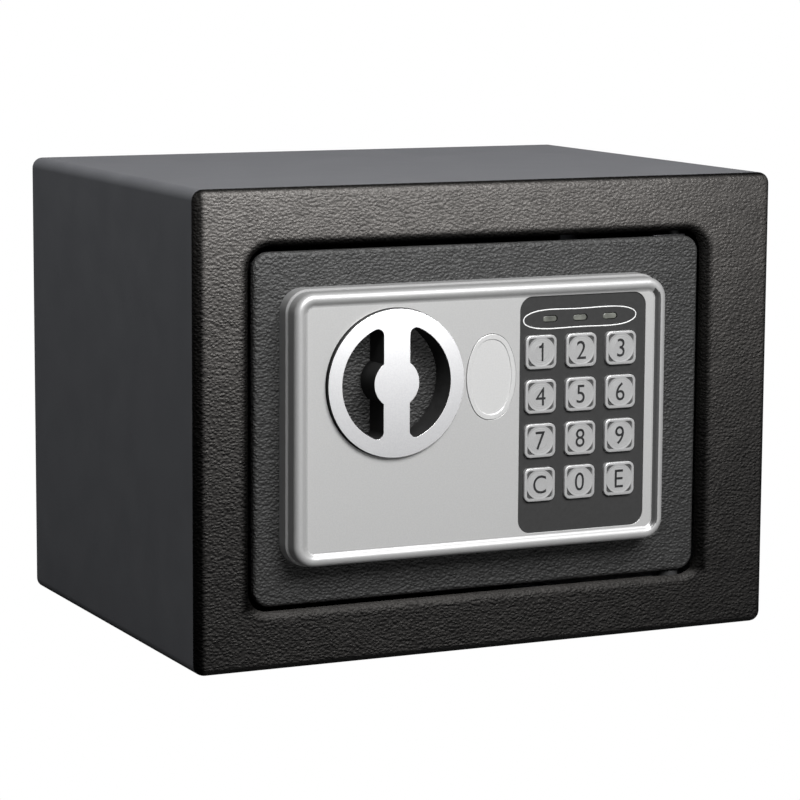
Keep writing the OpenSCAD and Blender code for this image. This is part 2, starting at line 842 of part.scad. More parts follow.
module bolt_carrier() {
    y1 = carrier_y + carrier_t;
    main_z0 = carrier_edge;
    color("#8b8d91") difference() {
        union() {
            block([carrier_x0, carrier_y, carrier_low], [carrier_x0 + strut_w, y1, carrier_high]);
            block([carrier_x0, carrier_y, main_z0], [carrier_x1, y1, carrier_high]);
            block([carrier_x0, carrier_y, carrier_low], [carrier_x0 + carrier_t, carrier_back, carrier_high]);
        }
        for (s = [-1, 1]) {
            z = mid_z + s * bolt_offset;
            translate([carrier_x0 - 1, bolt_y, z]) rotate([0, 90, 0]) cylinder(r = shank_r, h = carrier_t + 2);
            block([carrier_x0 + carrier_t, carrier_y - 1, z - nut_window],
                  [carrier_x0 + carrier_t + bolt_nut_t + 2, y1 + 1, z + nut_window]);
        }
        // crank slot
        block([crank_x - crank_pin_r - slot_gap, carrier_y - 1, slot_low],
              [crank_x + crank_pin_r + slot_gap, y1 + 1, slot_high]);
        // guide slot for the stud
        rod(stud_x, stud_z, carrier_y - 1, y1 + 1, stud_r + slot_gap);
        rod(stud_x + throw, stud_z, carrier_y - 1, y1 + 1, stud_r + slot_gap);
        block([stud_x, carrier_y - 1, stud_z - stud_r - slot_gap],
              [stud_x + throw, y1 + 1, stud_z + stud_r + slot_gap]);
        // notches for the plunger with the bolts in and with the bolts out
        for (x = [solenoid_x, solenoid_x + throw])
            block([x - notch_w / 2, carrier_y - 1, main_z0 - 1], [x + notch_w / 2, y1 + 1, main_z0 + notch_d]);
    }
}

module bolt(z) {
    len = carrier_x0 - bolt_tip;
    translate([bolt_tip, bolt_y, z]) rotate([0, 90, 0]) {
        cylinder(r1 = bolt_r - 1, r2 = bolt_r, h = 1);
        translate([0, 0, 1]) cylinder(r = bolt_r, h = len - 1);
        translate([0, 0, len - eps]) cylinder(r = shank_r, h = carrier_t + bolt_nut_t + 0.6 + eps);
    }
}

module upper_bolt() color("#d5d7d9") bolt(mid_z + bolt_offset);

module lower_bolt() color("#d5d7d9") bolt(mid_z - bolt_offset);

module bolt_nuts() {
    color("#b9a66a") for (s = [-1, 1])
        translate([carrier_x0 + carrier_t, bolt_y, mid_z + s * bolt_offset]) rotate([0, 90, 0]) difference() {
            cylinder(r = bolt_nut_r, h = bolt_nut_t, $fn = 6);
            translate([0, 0, -1]) cylinder(r = shank_r, h = bolt_nut_t + 2);
        }
}

module solenoid_frame() {
    depth = 2 * coil_r + 2 * sol_wall + 0.6;
    color("#9a9ca0") difference() {
        block([solenoid_x - sol_w / 2, door_back, sol_bottom], [solenoid_x + sol_w / 2, door_back + depth, sol_top]);
        block([solenoid_x - sol_w / 2 - 1, door_back + sol_wall, sol_bottom + sol_wall],
              [solenoid_x + sol_w / 2 + 1, door_back + depth - sol_wall, sol_top - sol_wall]);
        translate([solenoid_x, plunger_y, sol_top - 2 * sol_wall]) cylinder(r = plunger_r + 0.3, h = 3 * sol_wall);
    }
}

module solenoid_coil() {
    color("#a5672f") translate([solenoid_x, plunger_y, sol_bottom + sol_wall]) difference() {
        cylinder(r = coil_r, h = coil_len);
        translate([0, 0, -1]) cylinder(r = plunger_r + 0.3, h = coil_len + 2);
    }
}

module plunger() {
    color("#dcdde0") translate([solenoid_x, plunger_y, 0]) {
        translate([0, 0, plunger_tip - plunger_len]) cylinder(r = plunger_r, h = plunger_len);
        translate([0, 0, ring_z]) cylinder(r = ring_r, h = ring_t);
    }
}

module plunger_spring() {
    rise = ring_z - sol_top - spring_wire;
    steps = 20 * spring_turns;
    sides = 6;
    points = [
        for (i = [0:steps], j = [0:sides - 1])
            let (turn = 360 * spring_turns * i / steps, round = 360 * j / sides,
                 reach = spring_r + spring_wire / 2 * cos(round))
                [reach * cos(turn), reach * sin(turn), rise * i / steps + spring_wire / 2 * sin(round)]
    ];
    walls = [
        for (i = [0:steps - 1], j = [0:sides - 1])
            let (a = i * sides + j, b = i * sides + (j + 1) % sides) [a, a + sides, b + sides, b]
    ];
    start = [for (j = [0:sides - 1]) j];
    end = [for (j = [0:sides - 1]) (steps + 1) * sides - 1 - j];
    color("#e4e5e6") translate([solenoid_x, plunger_y, sol_top + spring_wire / 2])
        polyhedron(points, concat([start, end], walls));
}

module door_cover() {
    depth = cover_d;
    lid_w = tray_w - 2 * lid_in;
    lid_h = tray_h - 2 * lid_in;
    color("#222326") difference() {
        facing(cover_y1) translate([cover_x, mid_z]) difference() {
            linear_extrude(depth) rounded_rect(cover_w, cover_h, cover_r);
            translate([0, 0, cover_t]) linear_extrude(depth)
                rounded_rect(cover_w - 2 * cover_t, cover_h - 2 * cover_t, cover_r - cover_t);
        }
        for (s = [-1, 1]) translate([cover_x0 - 1, bolt_y, mid_z + s * bolt_offset]) rotate([0, 90, 0])
            cylinder(r = bolt_r + 0.4, h = cover_t + 2);
        for (p = posts) rod(p[0], p[1], cover_inner_y - 1, cover_y1 + 1, screw_hole_r);
        rod(reset_x, reset_z, cover_inner_y - 1, cover_y1 + 1, reset_r + 0.3);
        facing(cover_y1 + 1) translate([tray_x, tray_z]) linear_extrude(cover_t + 2)
            rounded_rect(lid_w + 2 * lid_gap, lid_h + 2 * lid_gap, 3 + lid_gap);
    }
}

module cover_posts() {
    color("#c9b66f") for (p = posts) difference() {
        rod(p[0], p[1], door_back, cover_inner_y, post_r);
        rod(p[0], p[1], cover_inner_y - 10, cover_inner_y + 1, screw_r);
    }
}

module cover_screws() {
    color("#8d8f93") for (p = posts) {
        rod(p[0], p[1], cover_inner_y - 8, cover_y1 + eps, screw_r);
        rod(p[0], p[1], cover_y1, cover_y1 + screw_head_t, screw_head_r);
    }
}

module battery_box() {
    color("#2b2c2e") difference() {
        block([tray_x - tray_w / 2, cover_inner_y - tray_d, tray_z0],
              [tray_x + tray_w / 2, cover_inner_y, tray_z0 + tray_h]);
        block([tray_x - tray_w / 2 + tray_t, cover_inner_y - tray_d + tray_t, tray_z0 + tray_t],
              [tray_x + tray_w / 2 - tray_t, cover_inner_y + 1, tray_z0 + tray_h - tray_t]);
    }
}

module batteries() {
    color("#3f5f8f") for (i = [0:cell_count - 1]) {
        flip = i % 2 == 0 ? 1 : -1;
        translate([tray_x, cell_y, tray_z + (i - (cell_count - 1) / 2) * cell_pitch]) {
            translate([-cell_len / 2 + (1 - flip) / 2 * 1.2, 0, 0]) rotate([0, 90, 0])
                cylinder(r = cell_r, h = cell_len - 1.2);
            translate([flip > 0 ? cell_len / 2 - 1.2 - eps : -cell_len / 2, 0, 0]) rotate([0, 90, 0])
                cylinder(r = 2.6, h = 1.2 + eps);
        }
    }
}

module battery_contacts() {
    reach = tray_w / 2 - tray_t;
    color("#d6d7d9") for (i = [0:cell_count - 1], s = [-1, 1]) {
        z = tray_z + (i - (cell_count - 1) / 2) * cell_pitch;
        flip = i % 2 == 0 ? 1 : -1;
        x = tray_x + s * (reach - contact_t / 2);
        translate([x - contact_t / 2, cell_y - contact_w / 2, z - contact_w / 2])
            cube([contact_t, contact_w, contact_w]);
        touch = reach - contact_t - cell_len / 2;
        translate([tray_x + s * cell_len / 2 - (s < 0 ? touch + eps : 0), cell_y, z]) rotate([0, 90, 0])
            cylinder(r = s == flip ? 2 : 3.2, h = touch + eps);
    }
}

module reset_switch() {
    color("#33353a") difference() {
        block([reset_x - 8, cover_inner_y - 12.8, reset_z - 8], [reset_x + 8, cover_inner_y, reset_z + 8]);
        rod(reset_x, reset_z, cover_inner_y - reset_stem - 2, cover_inner_y + 1, reset_cup_r);
    }
}

module reset_button() {
    color("#b3202a") {
        rod(reset_x, reset_z, cover_inner_y - reset_stem, cover_y1 + reset_proud, reset_r);
        rod(reset_x, reset_z, cover_inner_y - 1.2, cover_inner_y - 0.2, reset_flange_r);
    }
}

module battery_lid() {
    lid_w = tray_w - 2 * lid_in;
    lid_h = tray_h - 2 * lid_in;
    color("#26272a") difference() {
        facing(cover_y1) translate([tray_x, tray_z]) linear_extrude(cover_t) rounded_rect(lid_w, lid_h, 3);
        // thumb grooves
        for (i = [0:3]) block([tray_x - 9, cover_y1 - 0.5, tray_z + 16 + 2.4 * i],
                              [tray_x + 9, cover_y1 + 1, tray_z + 17 + 2.4 * i]);
    }
}

module wiring() {
    start = door_front - board_z0;
    foot = tray_z0 + tray_h;
    color("#c23b2c") {
        rod(wire_x, wire_z, start, wire_y, wire_r);
        translate([wire_x, wire_y, wire_z]) sphere(wire_r);
        translate([wire_x, wire_y, foot]) cylinder(r = wire_r, h = wire_z - foot);
    }
}

module wire_grommet() {
    color("#17181a") difference() {
        union() {
            rod(wire_x, wire_z, door_front - 1, door_back + 1.2, grommet_r);
            rod(wire_x, wire_z, door_front - 1, door_front, grommet_r + 1.5);
            rod(wire_x, wire_z, door_back, door_back + 1.2, grommet_r + 1.5);
        }
        rod(wire_x, wire_z, door_front - 2, door_back + 3, wire_r);
    }
}

module keypad_key(col, row) {
    x = keys_x + (col - 1) * key_pitch_x;
    z = keys_z + (1.5 - row) * key_pitch_z;
    top = panel_z + key_proud;
    ball_r = (dish_r * dish_r + dish_depth * dish_depth) / (2 * dish_depth);
    color("#c8cacc") on_door() translate([x, z]) difference() {
        union() {
            translate([0, 0, key_bottom]) linear_extrude(top - key_bottom) rounded_rect(key_w, key_h, key_r);
            translate([0, 0, key_bottom]) linear_extrude(key_flange_t)
                rounded_rect(key_w + 2 * key_flange_out, key_h + 2 * key_flange_out, key_r);
        }
        translate([0, 0, top + ball_r - dish_depth]) sphere(ball_r, $fn = 96);
    }
}

module named_key(name) {
    for (row = [0:3], col = [0:2]) if (key_names[row][col] == name) keypad_key(col, row);
}

body_shell();
back_panel();
front_frame();
floor_mat();
hinge_bracket_upper();
hinge_bracket_lower();
hinge_pins();
hinge_spacer();
door_plate();
hinge_lugs();
bezel();
bezel_screws();
keypad_panel();
keypad_mat();
circuit_board();
board_spacers();
status_lights();
spindle_bush();
bolt_guide();
carrier_stud();
lock_housing();
lock_nut();
solenoid_frame();
solenoid_coil();
door_cover();
cover_posts();
cover_screws();
battery_box();
batteries();
battery_contacts();
reset_switch();
wiring();
wire_grommet();
knob();
knob_spindle();
drive_cam();
spindle_clip();
bolt_carrier();
upper_bolt();
lower_bolt();
bolt_nuts();
plunger();
plunger_spring();
lock_plug();
lock_cam();
keyhole_cover();
reset_button();
battery_lid();
named_key("1");  // key_1
named_key("2");  // key_2
named_key("3");  // key_3
named_key("4");  // key_4
named_key("5");  // key_5
named_key("6");  // key_6
named_key("7");  // key_7
named_key("8");  // key_8
named_key("9");  // key_9
named_key("c");  // key_c
named_key("0");  // key_0
named_key("e");  // key_e
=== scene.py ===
import json
import math

import bmesh
import bpy
from mathutils import Matrix, Vector

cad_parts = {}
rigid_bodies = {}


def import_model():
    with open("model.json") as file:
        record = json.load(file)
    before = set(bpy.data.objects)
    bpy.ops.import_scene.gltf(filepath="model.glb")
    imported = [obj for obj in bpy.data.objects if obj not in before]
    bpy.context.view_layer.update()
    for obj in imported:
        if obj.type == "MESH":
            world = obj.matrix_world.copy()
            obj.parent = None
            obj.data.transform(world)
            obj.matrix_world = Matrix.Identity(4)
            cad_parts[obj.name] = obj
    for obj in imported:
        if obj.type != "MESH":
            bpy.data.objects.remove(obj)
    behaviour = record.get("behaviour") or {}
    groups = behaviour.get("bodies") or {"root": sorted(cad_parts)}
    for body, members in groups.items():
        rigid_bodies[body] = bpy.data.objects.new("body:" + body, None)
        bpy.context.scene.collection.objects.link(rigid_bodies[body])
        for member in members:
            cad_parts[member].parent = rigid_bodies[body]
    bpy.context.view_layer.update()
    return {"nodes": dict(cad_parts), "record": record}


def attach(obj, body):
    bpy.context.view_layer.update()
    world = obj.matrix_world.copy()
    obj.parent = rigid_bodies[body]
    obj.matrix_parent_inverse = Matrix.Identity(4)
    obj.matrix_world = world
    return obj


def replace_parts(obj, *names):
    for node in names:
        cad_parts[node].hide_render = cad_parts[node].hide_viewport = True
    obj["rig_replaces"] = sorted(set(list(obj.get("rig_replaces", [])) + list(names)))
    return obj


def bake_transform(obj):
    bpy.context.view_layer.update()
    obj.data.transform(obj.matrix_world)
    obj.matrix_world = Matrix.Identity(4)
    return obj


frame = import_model()
mm = 0.001
doorFace = -0.0835  # y of the door's front face
nodes = frame["nodes"]
nodeBody = {n: b for b, members in frame["record"]["behaviour"]["bodies"].items() for n in members}
shown = set()


# camera: a long lens, a little to the left of the safe and above it
cameraPlan = {"azimuth": -25.45, "elevation": 8.37, "roll": 0.34, "distance": 1.2091, "lens": 141.62,
              "target": (0.0033, 0.0, 0.0796)}


def placeCamera(plan):
    az = math.radians(plan["azimuth"])
    el = math.radians(plan["elevation"])
    roll = math.radians(plan["roll"])
    back = Vector((math.sin(az) * math.cos(el), -math.cos(az) * math.cos(el), math.sin(el)))
    side = Vector((0, 0, 1)).cross(back).normalized()
    up = back.cross(side)
    sideTilted = math.cos(roll) * side + math.sin(roll) * up
    upTilted = -math.sin(roll) * side + math.cos(roll) * up
    camera = bpy.data.objects.new("camera", bpy.data.cameras.new("camera"))
    camera.data.lens = plan["lens"]
    camera.data.sensor_width = 36
    camera.data.clip_start = 0.05
    turn = Matrix((sideTilted, upTilted, back)).transposed()
    camera.matrix_world = Matrix.Translation(Vector(plan["target"]) + back * plan["distance"]) @ turn.to_4x4()
    bpy.context.scene.collection.objects.link(camera)
    bpy.context.scene.camera = camera


placeCamera(cameraPlan)


# finishes
patternPlan = {"detail": 5, "low": 0.35, "high": 0.68, "coatRough": 0.2, "stir": 0.45, "push": 1.1,
               "smooth": 0.6, "stirDetail": 2, "noiseDetail": 3}


def finish(name, colour, rough, metal=0.0, specular=0.5, mottle=None, bumps=(), roughSpread=0.0, coat=0.0):
    # mottle is (second colour, scale); each bump is (kind, scale, depth in metres, stretch)
    mat = bpy.data.materials.new(name)
    mat.use_nodes = True
    tree = mat.node_tree
    shader = tree.nodes["Principled BSDF"]
    shader.inputs["Base Color"].default_value = (*colour, 1)
    shader.inputs["Roughness"].default_value = rough
    shader.inputs["Metallic"].default_value = metal
    shader.inputs["Specular IOR Level"].default_value = specular
    if coat:
        shader.inputs["Coat Weight"].default_value = coat
        shader.inputs["Coat Roughness"].default_value = patternPlan["coatRough"]
    place = tree.nodes.new("ShaderNodeTexCoord")
    if mottle:
        cloud = tree.nodes.new("ShaderNodeTexNoise")
        cloud.inputs["Scale"].default_value = mottle[1]
        cloud.inputs["Detail"].default_value = patternPlan["detail"]
        tree.links.new(place.outputs["Object"], cloud.inputs["Vector"])
        ramp = tree.nodes.new("ShaderNodeValToRGB")
        ramp.color_ramp.elements[0].position = patternPlan["low"]
        ramp.color_ramp.elements[0].color = (*colour, 1)
        ramp.color_ramp.elements[1].position = patternPlan["high"]
        ramp.color_ramp.elements[1].color = (*mottle[0], 1)
        tree.links.new(cloud.outputs["Fac"], ramp.inputs["Fac"])
        tree.links.new(ramp.outputs["Color"], shader.inputs["Base Color"])
        if roughSpread:
            span = tree.nodes.new("ShaderNodeMapRange")
            span.inputs["To Min"].default_value = rough - roughSpread
            span.inputs["To Max"].default_value = rough + roughSpread
            tree.links.new(cloud.outputs["Fac"], span.inputs["Value"])
            tree.links.new(span.outputs["Result"], shader.inputs["Roughness"])
    last = None
    for kind, scale, depth, stretch in bumps:
        aim = tree.nodes.new("ShaderNodeMapping")
        aim.inputs["Scale"].default_value = stretch
        tree.links.new(place.outputs["Object"], aim.inputs["Vector"])
        if kind == "pebble":
            # a cell pattern pushed about by a noise gives wrinkled leather cells
            stir = tree.nodes.new("ShaderNodeTexNoise")
            stir.inputs["Scale"].default_value = scale * patternPlan["stir"]
            stir.inputs["Detail"].default_value = patternPlan["stirDetail"]
            tree.links.new(aim.outputs["Vector"], stir.inputs["Vector"])
            push = tree.nodes.new("ShaderNodeVectorMath")
            push.operation = "MULTIPLY_ADD"
            push.inputs[1].default_value = (patternPlan["push"] / scale,) * 3
            tree.links.new(stir.outputs["Color"], push.inputs[0])
            tree.links.new(aim.outputs["Vector"], push.inputs[2])
            height = tree.nodes.new("ShaderNodeTexVoronoi")
            height.feature = "SMOOTH_F1"
            height.inputs["Scale"].default_value = scale
            height.inputs["Smoothness"].default_value = patternPlan["smooth"]
            tree.links.new(push.outputs["Vector"], height.inputs["Vector"])
            source = height.outputs["Distance"]
        else:
            height = tree.nodes.new("ShaderNodeTexNoise")
            height.inputs["Scale"].default_value = scale
            height.inputs["Detail"].default_value = patternPlan["noiseDetail"]
            tree.links.new(aim.outputs["Vector"], height.inputs["Vector"])
            source = height.outputs["Fac"]
        bump = tree.nodes.new("ShaderNodeBump")
        bump.inputs["Strength"].default_value = 1.0
        bump.inputs["Distance"].default_value = depth
        bump.invert = kind == "pebble"
        tree.links.new(source, bump.inputs["Height"])
        if last:
            tree.links.new(last.outputs["Normal"], bump.inputs["Normal"])
        last = bump
    if last:
        tree.links.new(last.outputs["Normal"], shader.inputs["Normal"])
    return mat


def paintShadeBands(mat, bands, hole, least):
    # painted shade: each band is (axis, start, end) in millimetres, with full tone at its start and the least
    # at its end;
    # hole is the door opening, and painted shade darkens the paint towards its sides and top
    tree = mat.node_tree
    shader = tree.nodes["Principled BSDF"]
    tone = shader.inputs["Base Color"].links[0].from_socket
    place = tree.nodes.new("ShaderNodeTexCoord")
    split = tree.nodes.new("ShaderNodeSeparateXYZ")
    tree.links.new(place.outputs["Object"], split.inputs["Vector"])

    def past(axis, sign, edge):
        # how far the point lies beyond an edge
        away = tree.nodes.new("ShaderNodeMath")
        away.operation = "MULTIPLY_ADD"
        away.inputs[1].default_value = sign
        away.inputs[2].default_value = -sign * edge * mm
        tree.links.new(split.outputs[axis], away.inputs[0])
        return away.outputs["Value"]

    def larger(a, b):
        pick = tree.nodes.new("ShaderNodeMath")
        pick.operation = "MAXIMUM"
        tree.links.new(a, pick.inputs[0])
        tree.links.new(b, pick.inputs[1])
        return pick.outputs["Value"]

    corner = tree.nodes.new("ShaderNodeCombineXYZ")
    r = hole["radius"]
    sideways = larger(past("X", -1, hole["left"] + r), past("X", 1, hole["right"] - r))
    tree.links.new(sideways, corner.inputs["X"])
    tree.links.new(past("Z", 1, hole["top"] - r), corner.inputs["Z"])
    clip = tree.nodes.new("ShaderNodeVectorMath")
    clip.operation = "MAXIMUM"
    tree.links.new(corner.outputs["Vector"], clip.inputs[0])
    span = tree.nodes.new("ShaderNodeVectorMath")
    span.operation = "LENGTH"
    tree.links.new(clip.outputs["Vector"], span.inputs[0])
    outside = tree.nodes.new("ShaderNodeMath")
    outside.operation = "SUBTRACT"
    outside.inputs[1].default_value = r * mm
    tree.links.new(span.outputs["Value"], outside.inputs[0])
    reach = larger(outside.outputs["Value"], past("Z", -1, hole["foot"]))
    near = tree.nodes.new("ShaderNodeMapRange")
    near.interpolation_type = "SMOOTHSTEP"
    near.inputs["From Min"].default_value = hole["dark"] * mm
    near.inputs["From Max"].default_value = hole["full"] * mm
    near.inputs["To Min"].default_value = least
    tree.links.new(reach, near.inputs["Value"])
    level = near.outputs["Result"]
    for axis, start, end in bands:
        fade = tree.nodes.new("ShaderNodeMapRange")
        fade.interpolation_type = "SMOOTHSTEP"
        fade.inputs["From Min"].default_value = start * mm
        fade.inputs["From Max"].default_value = end * mm
        fade.inputs["To Min"].default_value = 1.0
        fade.inputs["To Max"].default_value = least
        tree.links.new(split.outputs[axis], fade.inputs["Value"])
        both = tree.nodes.new("ShaderNodeMath")
        both.operation = "MULTIPLY"
        tree.links.new(level, both.inputs[0])
        tree.links.new(fade.outputs["Result"], both.inputs[1])
        level = both.outputs["Value"]
    dim = tree.nodes.new("ShaderNodeVectorMath")
    dim.operation = "SCALE"
    tree.links.new(tone, dim.inputs[0])
    tree.links.new(level, dim.inputs["Scale"])
    tree.links.new(dim.outputs["Vector"], shader.inputs["Base Color"])
    # the painted shade lowers the specular level as well as the colour
    gloss = tree.nodes.new("ShaderNodeMath")
    gloss.operation = "MULTIPLY"
    gloss.inputs[1].default_value = shader.inputs["Specular IOR Level"].default_value
    tree.links.new(level, gloss.inputs[0])
    tree.links.new(gloss.outputs["Value"], shader.inputs["Specular IOR Level"])


even = (1, 1, 1)
wide = (0.8, 1, 1.15)
brushed = (0.05, 1, 1)
paintGrain = [("pebble", 980, 0.00056, wide), ("noise", 2600, 0.00004, even)]
silverGrain = [("noise", 3500, 0.00001, even)]
paintShell = finish("bodyPaint", (0.044, 0.045, 0.049), 0.54, specular=0.34,
                    mottle=((0.050, 0.051, 0.055), 60), bumps=[("noise", 1500, 0.00003, even)],
                    roughSpread=0.04)
paintFrame = finish("framePaint", (0.0135, 0.0132, 0.013), 0.56, specular=0.14,
                    mottle=((0.0175, 0.0171, 0.0168), 120), bumps=paintGrain, roughSpread=0.04)
# the foot lies 4 mm inside the opening, which keeps the bottom edge at full tone, free of painted shade
openingShadePlan = {"left": -94.5, "right": 87.0, "top": 149.5, "foot": 24.5, "radius": 8.0, "dark": 1.4,
               "full": 4.4}
# painted shade over the frame's outer rounded edges at left, right and top, darkening colour and gloss
outerEdgeShadeBands = [("X", -110.6, -113.0), ("X", 112.6, 114.4), ("Z", 168.4, 169.6)]
deepestPaintedShade = 0.1
paintShadeBands(paintFrame, outerEdgeShadeBands, openingShadePlan, deepestPaintedShade)
paintDoor = finish("doorPaint", (0.0165, 0.0165, 0.0163), 0.56, specular=0.2,
                   mottle=((0.0215, 0.0215, 0.0213), 120), bumps=paintGrain, roughSpread=0.04)
paintInner = finish("innerPaint", (0.045, 0.046, 0.048), 0.5, mottle=((0.055, 0.056, 0.058), 90),
                    bumps=[("noise", 900, 0.00006, even)], roughSpread=0.05)
silverPanel = finish("silverPaint", (0.60, 0.60, 0.595), 0.40, metal=0.6, mottle=((0.64, 0.64, 0.635), 1800),
                     bumps=[("noise", 3500, 0.000012, even)], roughSpread=0.03)
silverOval = finish("silverOval", (0.66, 0.66, 0.655), 0.40, metal=0.5, mottle=((0.70, 0.70, 0.695), 1800),
                    bumps=[("noise", 3500, 0.000012, even)], roughSpread=0.03)
# the rim's darker silver is painted shade on the bezel's crests and coves, and the near-black silver is
# painted shade on the inward slope at the right
silverRim = finish("silverRim", (0.42, 0.42, 0.418), 0.46, metal=0.5, mottle=((0.45, 0.45, 0.448), 1800),
                   bumps=silverGrain, roughSpread=0.03)
silverDeep = finish("silverDeep", (0.10, 0.10, 0.10), 0.4, metal=0.7, mottle=((0.12, 0.12, 0.12), 1800),
                    bumps=silverGrain)
silverKnob = finish("knobSilver", (0.29, 0.29, 0.295), 0.36, metal=0.35, mottle=((0.32, 0.32, 0.325), 2200),
                    bumps=silverGrain, roughSpread=0.03)
knobCore = finish("knobCore", (0.004, 0.004, 0.004), 0.5, specular=0.2, mottle=((0.006, 0.006, 0.006), 400),
                  bumps=[("noise", 2200, 0.00002, even)], roughSpread=0.05)
padFace = finish("padPlastic", (0.028, 0.028, 0.028), 0.42, specular=0.35,
                 mottle=((0.032, 0.032, 0.032), 700), bumps=[("noise", 4200, 0.00001, even)],
                 roughSpread=0.03)
padLine = finish("padOutline", (0.70, 0.70, 0.70), 0.4, mottle=((0.76, 0.76, 0.76), 900))
keySilver = finish("keySilver", (0.55, 0.55, 0.55), 0.34, metal=0.6, mottle=((0.59, 0.59, 0.59), 2000),
                   bumps=[("noise", 4000, 0.00001, even)], roughSpread=0.03)
keyDark = finish("keyDark", (0.045, 0.045, 0.045), 0.45, mottle=((0.055, 0.055, 0.055), 900))
keyInk = finish("keyInk", (0.008, 0.008, 0.009), 0.5, mottle=((0.012, 0.012, 0.013), 900))
rubberGrey = finish("rubberMat", (0.16, 0.165, 0.17), 0.75, mottle=((0.19, 0.195, 0.2), 300),
                    bumps=[("noise", 2500, 0.00002, even)])
boardGreen = finish("boardGreen", (0.03, 0.16, 0.06), 0.35, mottle=((0.02, 0.11, 0.045), 260),
                    bumps=[("noise", 1400, 0.00003, even)], coat=0.4)
chipBlack = finish("chipBlack", (0.02, 0.02, 0.022), 0.4, mottle=((0.03, 0.03, 0.032), 500))
solderTin = finish("solderTin", (0.6, 0.6, 0.58), 0.25, metal=1.0, mottle=((0.5, 0.5, 0.48), 900))
lensClear = finish("lensDull", (0.060, 0.062, 0.055), 0.36, specular=0.4, mottle=((0.15, 0.155, 0.137), 260),
                   bumps=[("noise", 900, 0.00002, even)], coat=0.5)
steelBlack = finish("blackSteel", (0.03, 0.03, 0.032), 0.4, metal=0.6, mottle=((0.045, 0.045, 0.047), 200),
                    bumps=[("noise", 1800, 0.00002, even)], roughSpread=0.05)
steelBright = finish("brightSteel", (0.66, 0.66, 0.67), 0.24, metal=1.0, mottle=((0.58, 0.58, 0.60), 130),
                     bumps=[("noise", 1800, 0.00001, brushed)], roughSpread=0.06)
steelZinc = finish("zincSteel", (0.50, 0.51, 0.53), 0.36, metal=1.0, mottle=((0.62, 0.61, 0.56), 70),
                   bumps=[("noise", 1600, 0.000015, even)], roughSpread=0.08)
brassTurned = finish("turnedBrass", (0.72, 0.53, 0.22), 0.28, metal=1.0, mottle=((0.60, 0.43, 0.17), 160),
                     bumps=[("noise", 1800, 0.00001, even)], roughSpread=0.06)
copperWire = finish("copperWire", (0.62, 0.25, 0.10), 0.3, metal=1.0, mottle=((0.50, 0.18, 0.07), 300),
                    coat=0.5)
blackPlastic = finish("blackPlastic", (0.025, 0.025, 0.026), 0.45, mottle=((0.034, 0.034, 0.035), 300),
                      bumps=[("noise", 1800, 0.00003, even)], roughSpread=0.04)
cellBlue = finish("cellSleeve", (0.03, 0.08, 0.24), 0.3, mottle=((0.035, 0.09, 0.27), 300), coat=0.3)
cellGold = finish("cellBand", (0.62, 0.45, 0.16), 0.32, metal=0.9, mottle=((0.56, 0.40, 0.13), 300))
feltBlack = finish("floorFelt", (0.018, 0.018, 0.02), 0.95, mottle=((0.04, 0.04, 0.043), 900),
                   bumps=[("noise", 2400, 0.0003, even), ("noise", 700, 0.0002, even)])
redPlastic = finish("redPlastic", (0.55, 0.02, 0.025), 0.35, mottle=((0.48, 0.016, 0.02), 300),
                    bumps=[("noise", 2000, 0.00002, even)])
redWire = finish("redWire", (0.5, 0.03, 0.02), 0.4, mottle=((0.44, 0.022, 0.016), 400))
blackWire = finish("blackWire", (0.015, 0.015, 0.016), 0.4, mottle=((0.025, 0.025, 0.026), 400))
paleNylon = finish("paleNylon", (0.62, 0.60, 0.54), 0.5, mottle=((0.68, 0.66, 0.6), 300),
                   bumps=[("noise", 1800, 0.00002, even)])
print("finishes made")


# helpers for pieces
weldPlan = {"distance": 1e-6, "flat": 0.8, "flatsWeight": 80}  # faces within flat degrees become one


def makePiece(name, bm, *mats):
    mesh = bpy.data.meshes.new(name)
    bm.to_mesh(mesh)
    bm.free()
    piece = bpy.data.objects.new(name, mesh)
    bpy.context.scene.collection.objects.link(piece)
    for mat in mats:
        mesh.materials.append(mat)
    return piece


def applyModifiers(piece):
    # the finished mesh takes the place of the modifiers
    bpy.context.view_layer.update()
    graph = bpy.context.evaluated_depsgraph_get()
    solid = bpy.data.meshes.new_from_object(piece.evaluated_get(graph))
    piece.modifiers.clear()
    old = piece.data
    piece.data = solid
    bpy.data.meshes.remove(old)


def roundEdges(piece, width, segments=2, angle=38):
    bevel = piece.modifiers.new("edges", "BEVEL")
    bevel.width = width
    bevel.segments = segments
    bevel.limit_method = "ANGLE"
    bevel.angle_limit = math.radians(angle)
    bevel.miter_outer = "MITER_ARC"
    weigh = piece.modifiers.new("flats", "WEIGHTED_NORMAL")
    weigh.keep_sharp = True
    weigh.weight = weldPlan["flatsWeight"]


def softShade(piece, angle=32):
    mesh = piece.data
    mesh.polygons.foreach_set("use_smooth", [True] * len(mesh.polygons))
    mesh.set_sharp_from_angle(angle=math.radians(angle))


def standFor(piece, slot, *names):
    body = nodeBody[names[0]]
    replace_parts(piece, *names)
    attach(piece, body)
    shown.update(names)


def mergedMesh(node):
    # the node's loose triangles as one skin, with its flats merged
    bm = bmesh.new()
    bm.from_mesh(nodes[node].data)
    bmesh.ops.remove_doubles(bm, verts=bm.verts, dist=weldPlan["distance"])
    bmesh.ops.dissolve_limit(bm, angle_limit=math.radians(weldPlan["flat"]), verts=bm.verts, edges=bm.edges,
                             delimit=set())
    for face in bm.faces:
        face.material_index = 0
    return bm


def refine(node, slot, mat, width=0.2, segments=2, angle=38):
    # the node's own shape with its sharp edges broken
    piece = makePiece(node + "_fine", mergedMesh(node), mat)
    if "custom_normal" in piece.data.attributes:
        piece.data.attributes.remove(piece.data.attributes["custom_normal"])
    softShade(piece, angle)
    if width:
        roundEdges(piece, width * mm, segments, angle)
        applyModifiers(piece)
    standFor(piece, slot, node)
    return piece


def onFront(x, z, height=0.0):
    # turns a front drawing into place; its own z rises towards the viewer
    spot = Matrix.Translation((x * mm, doorFace - height * mm, z * mm))
    return spot @ Matrix.Rotation(math.radians(90), 4, "X")


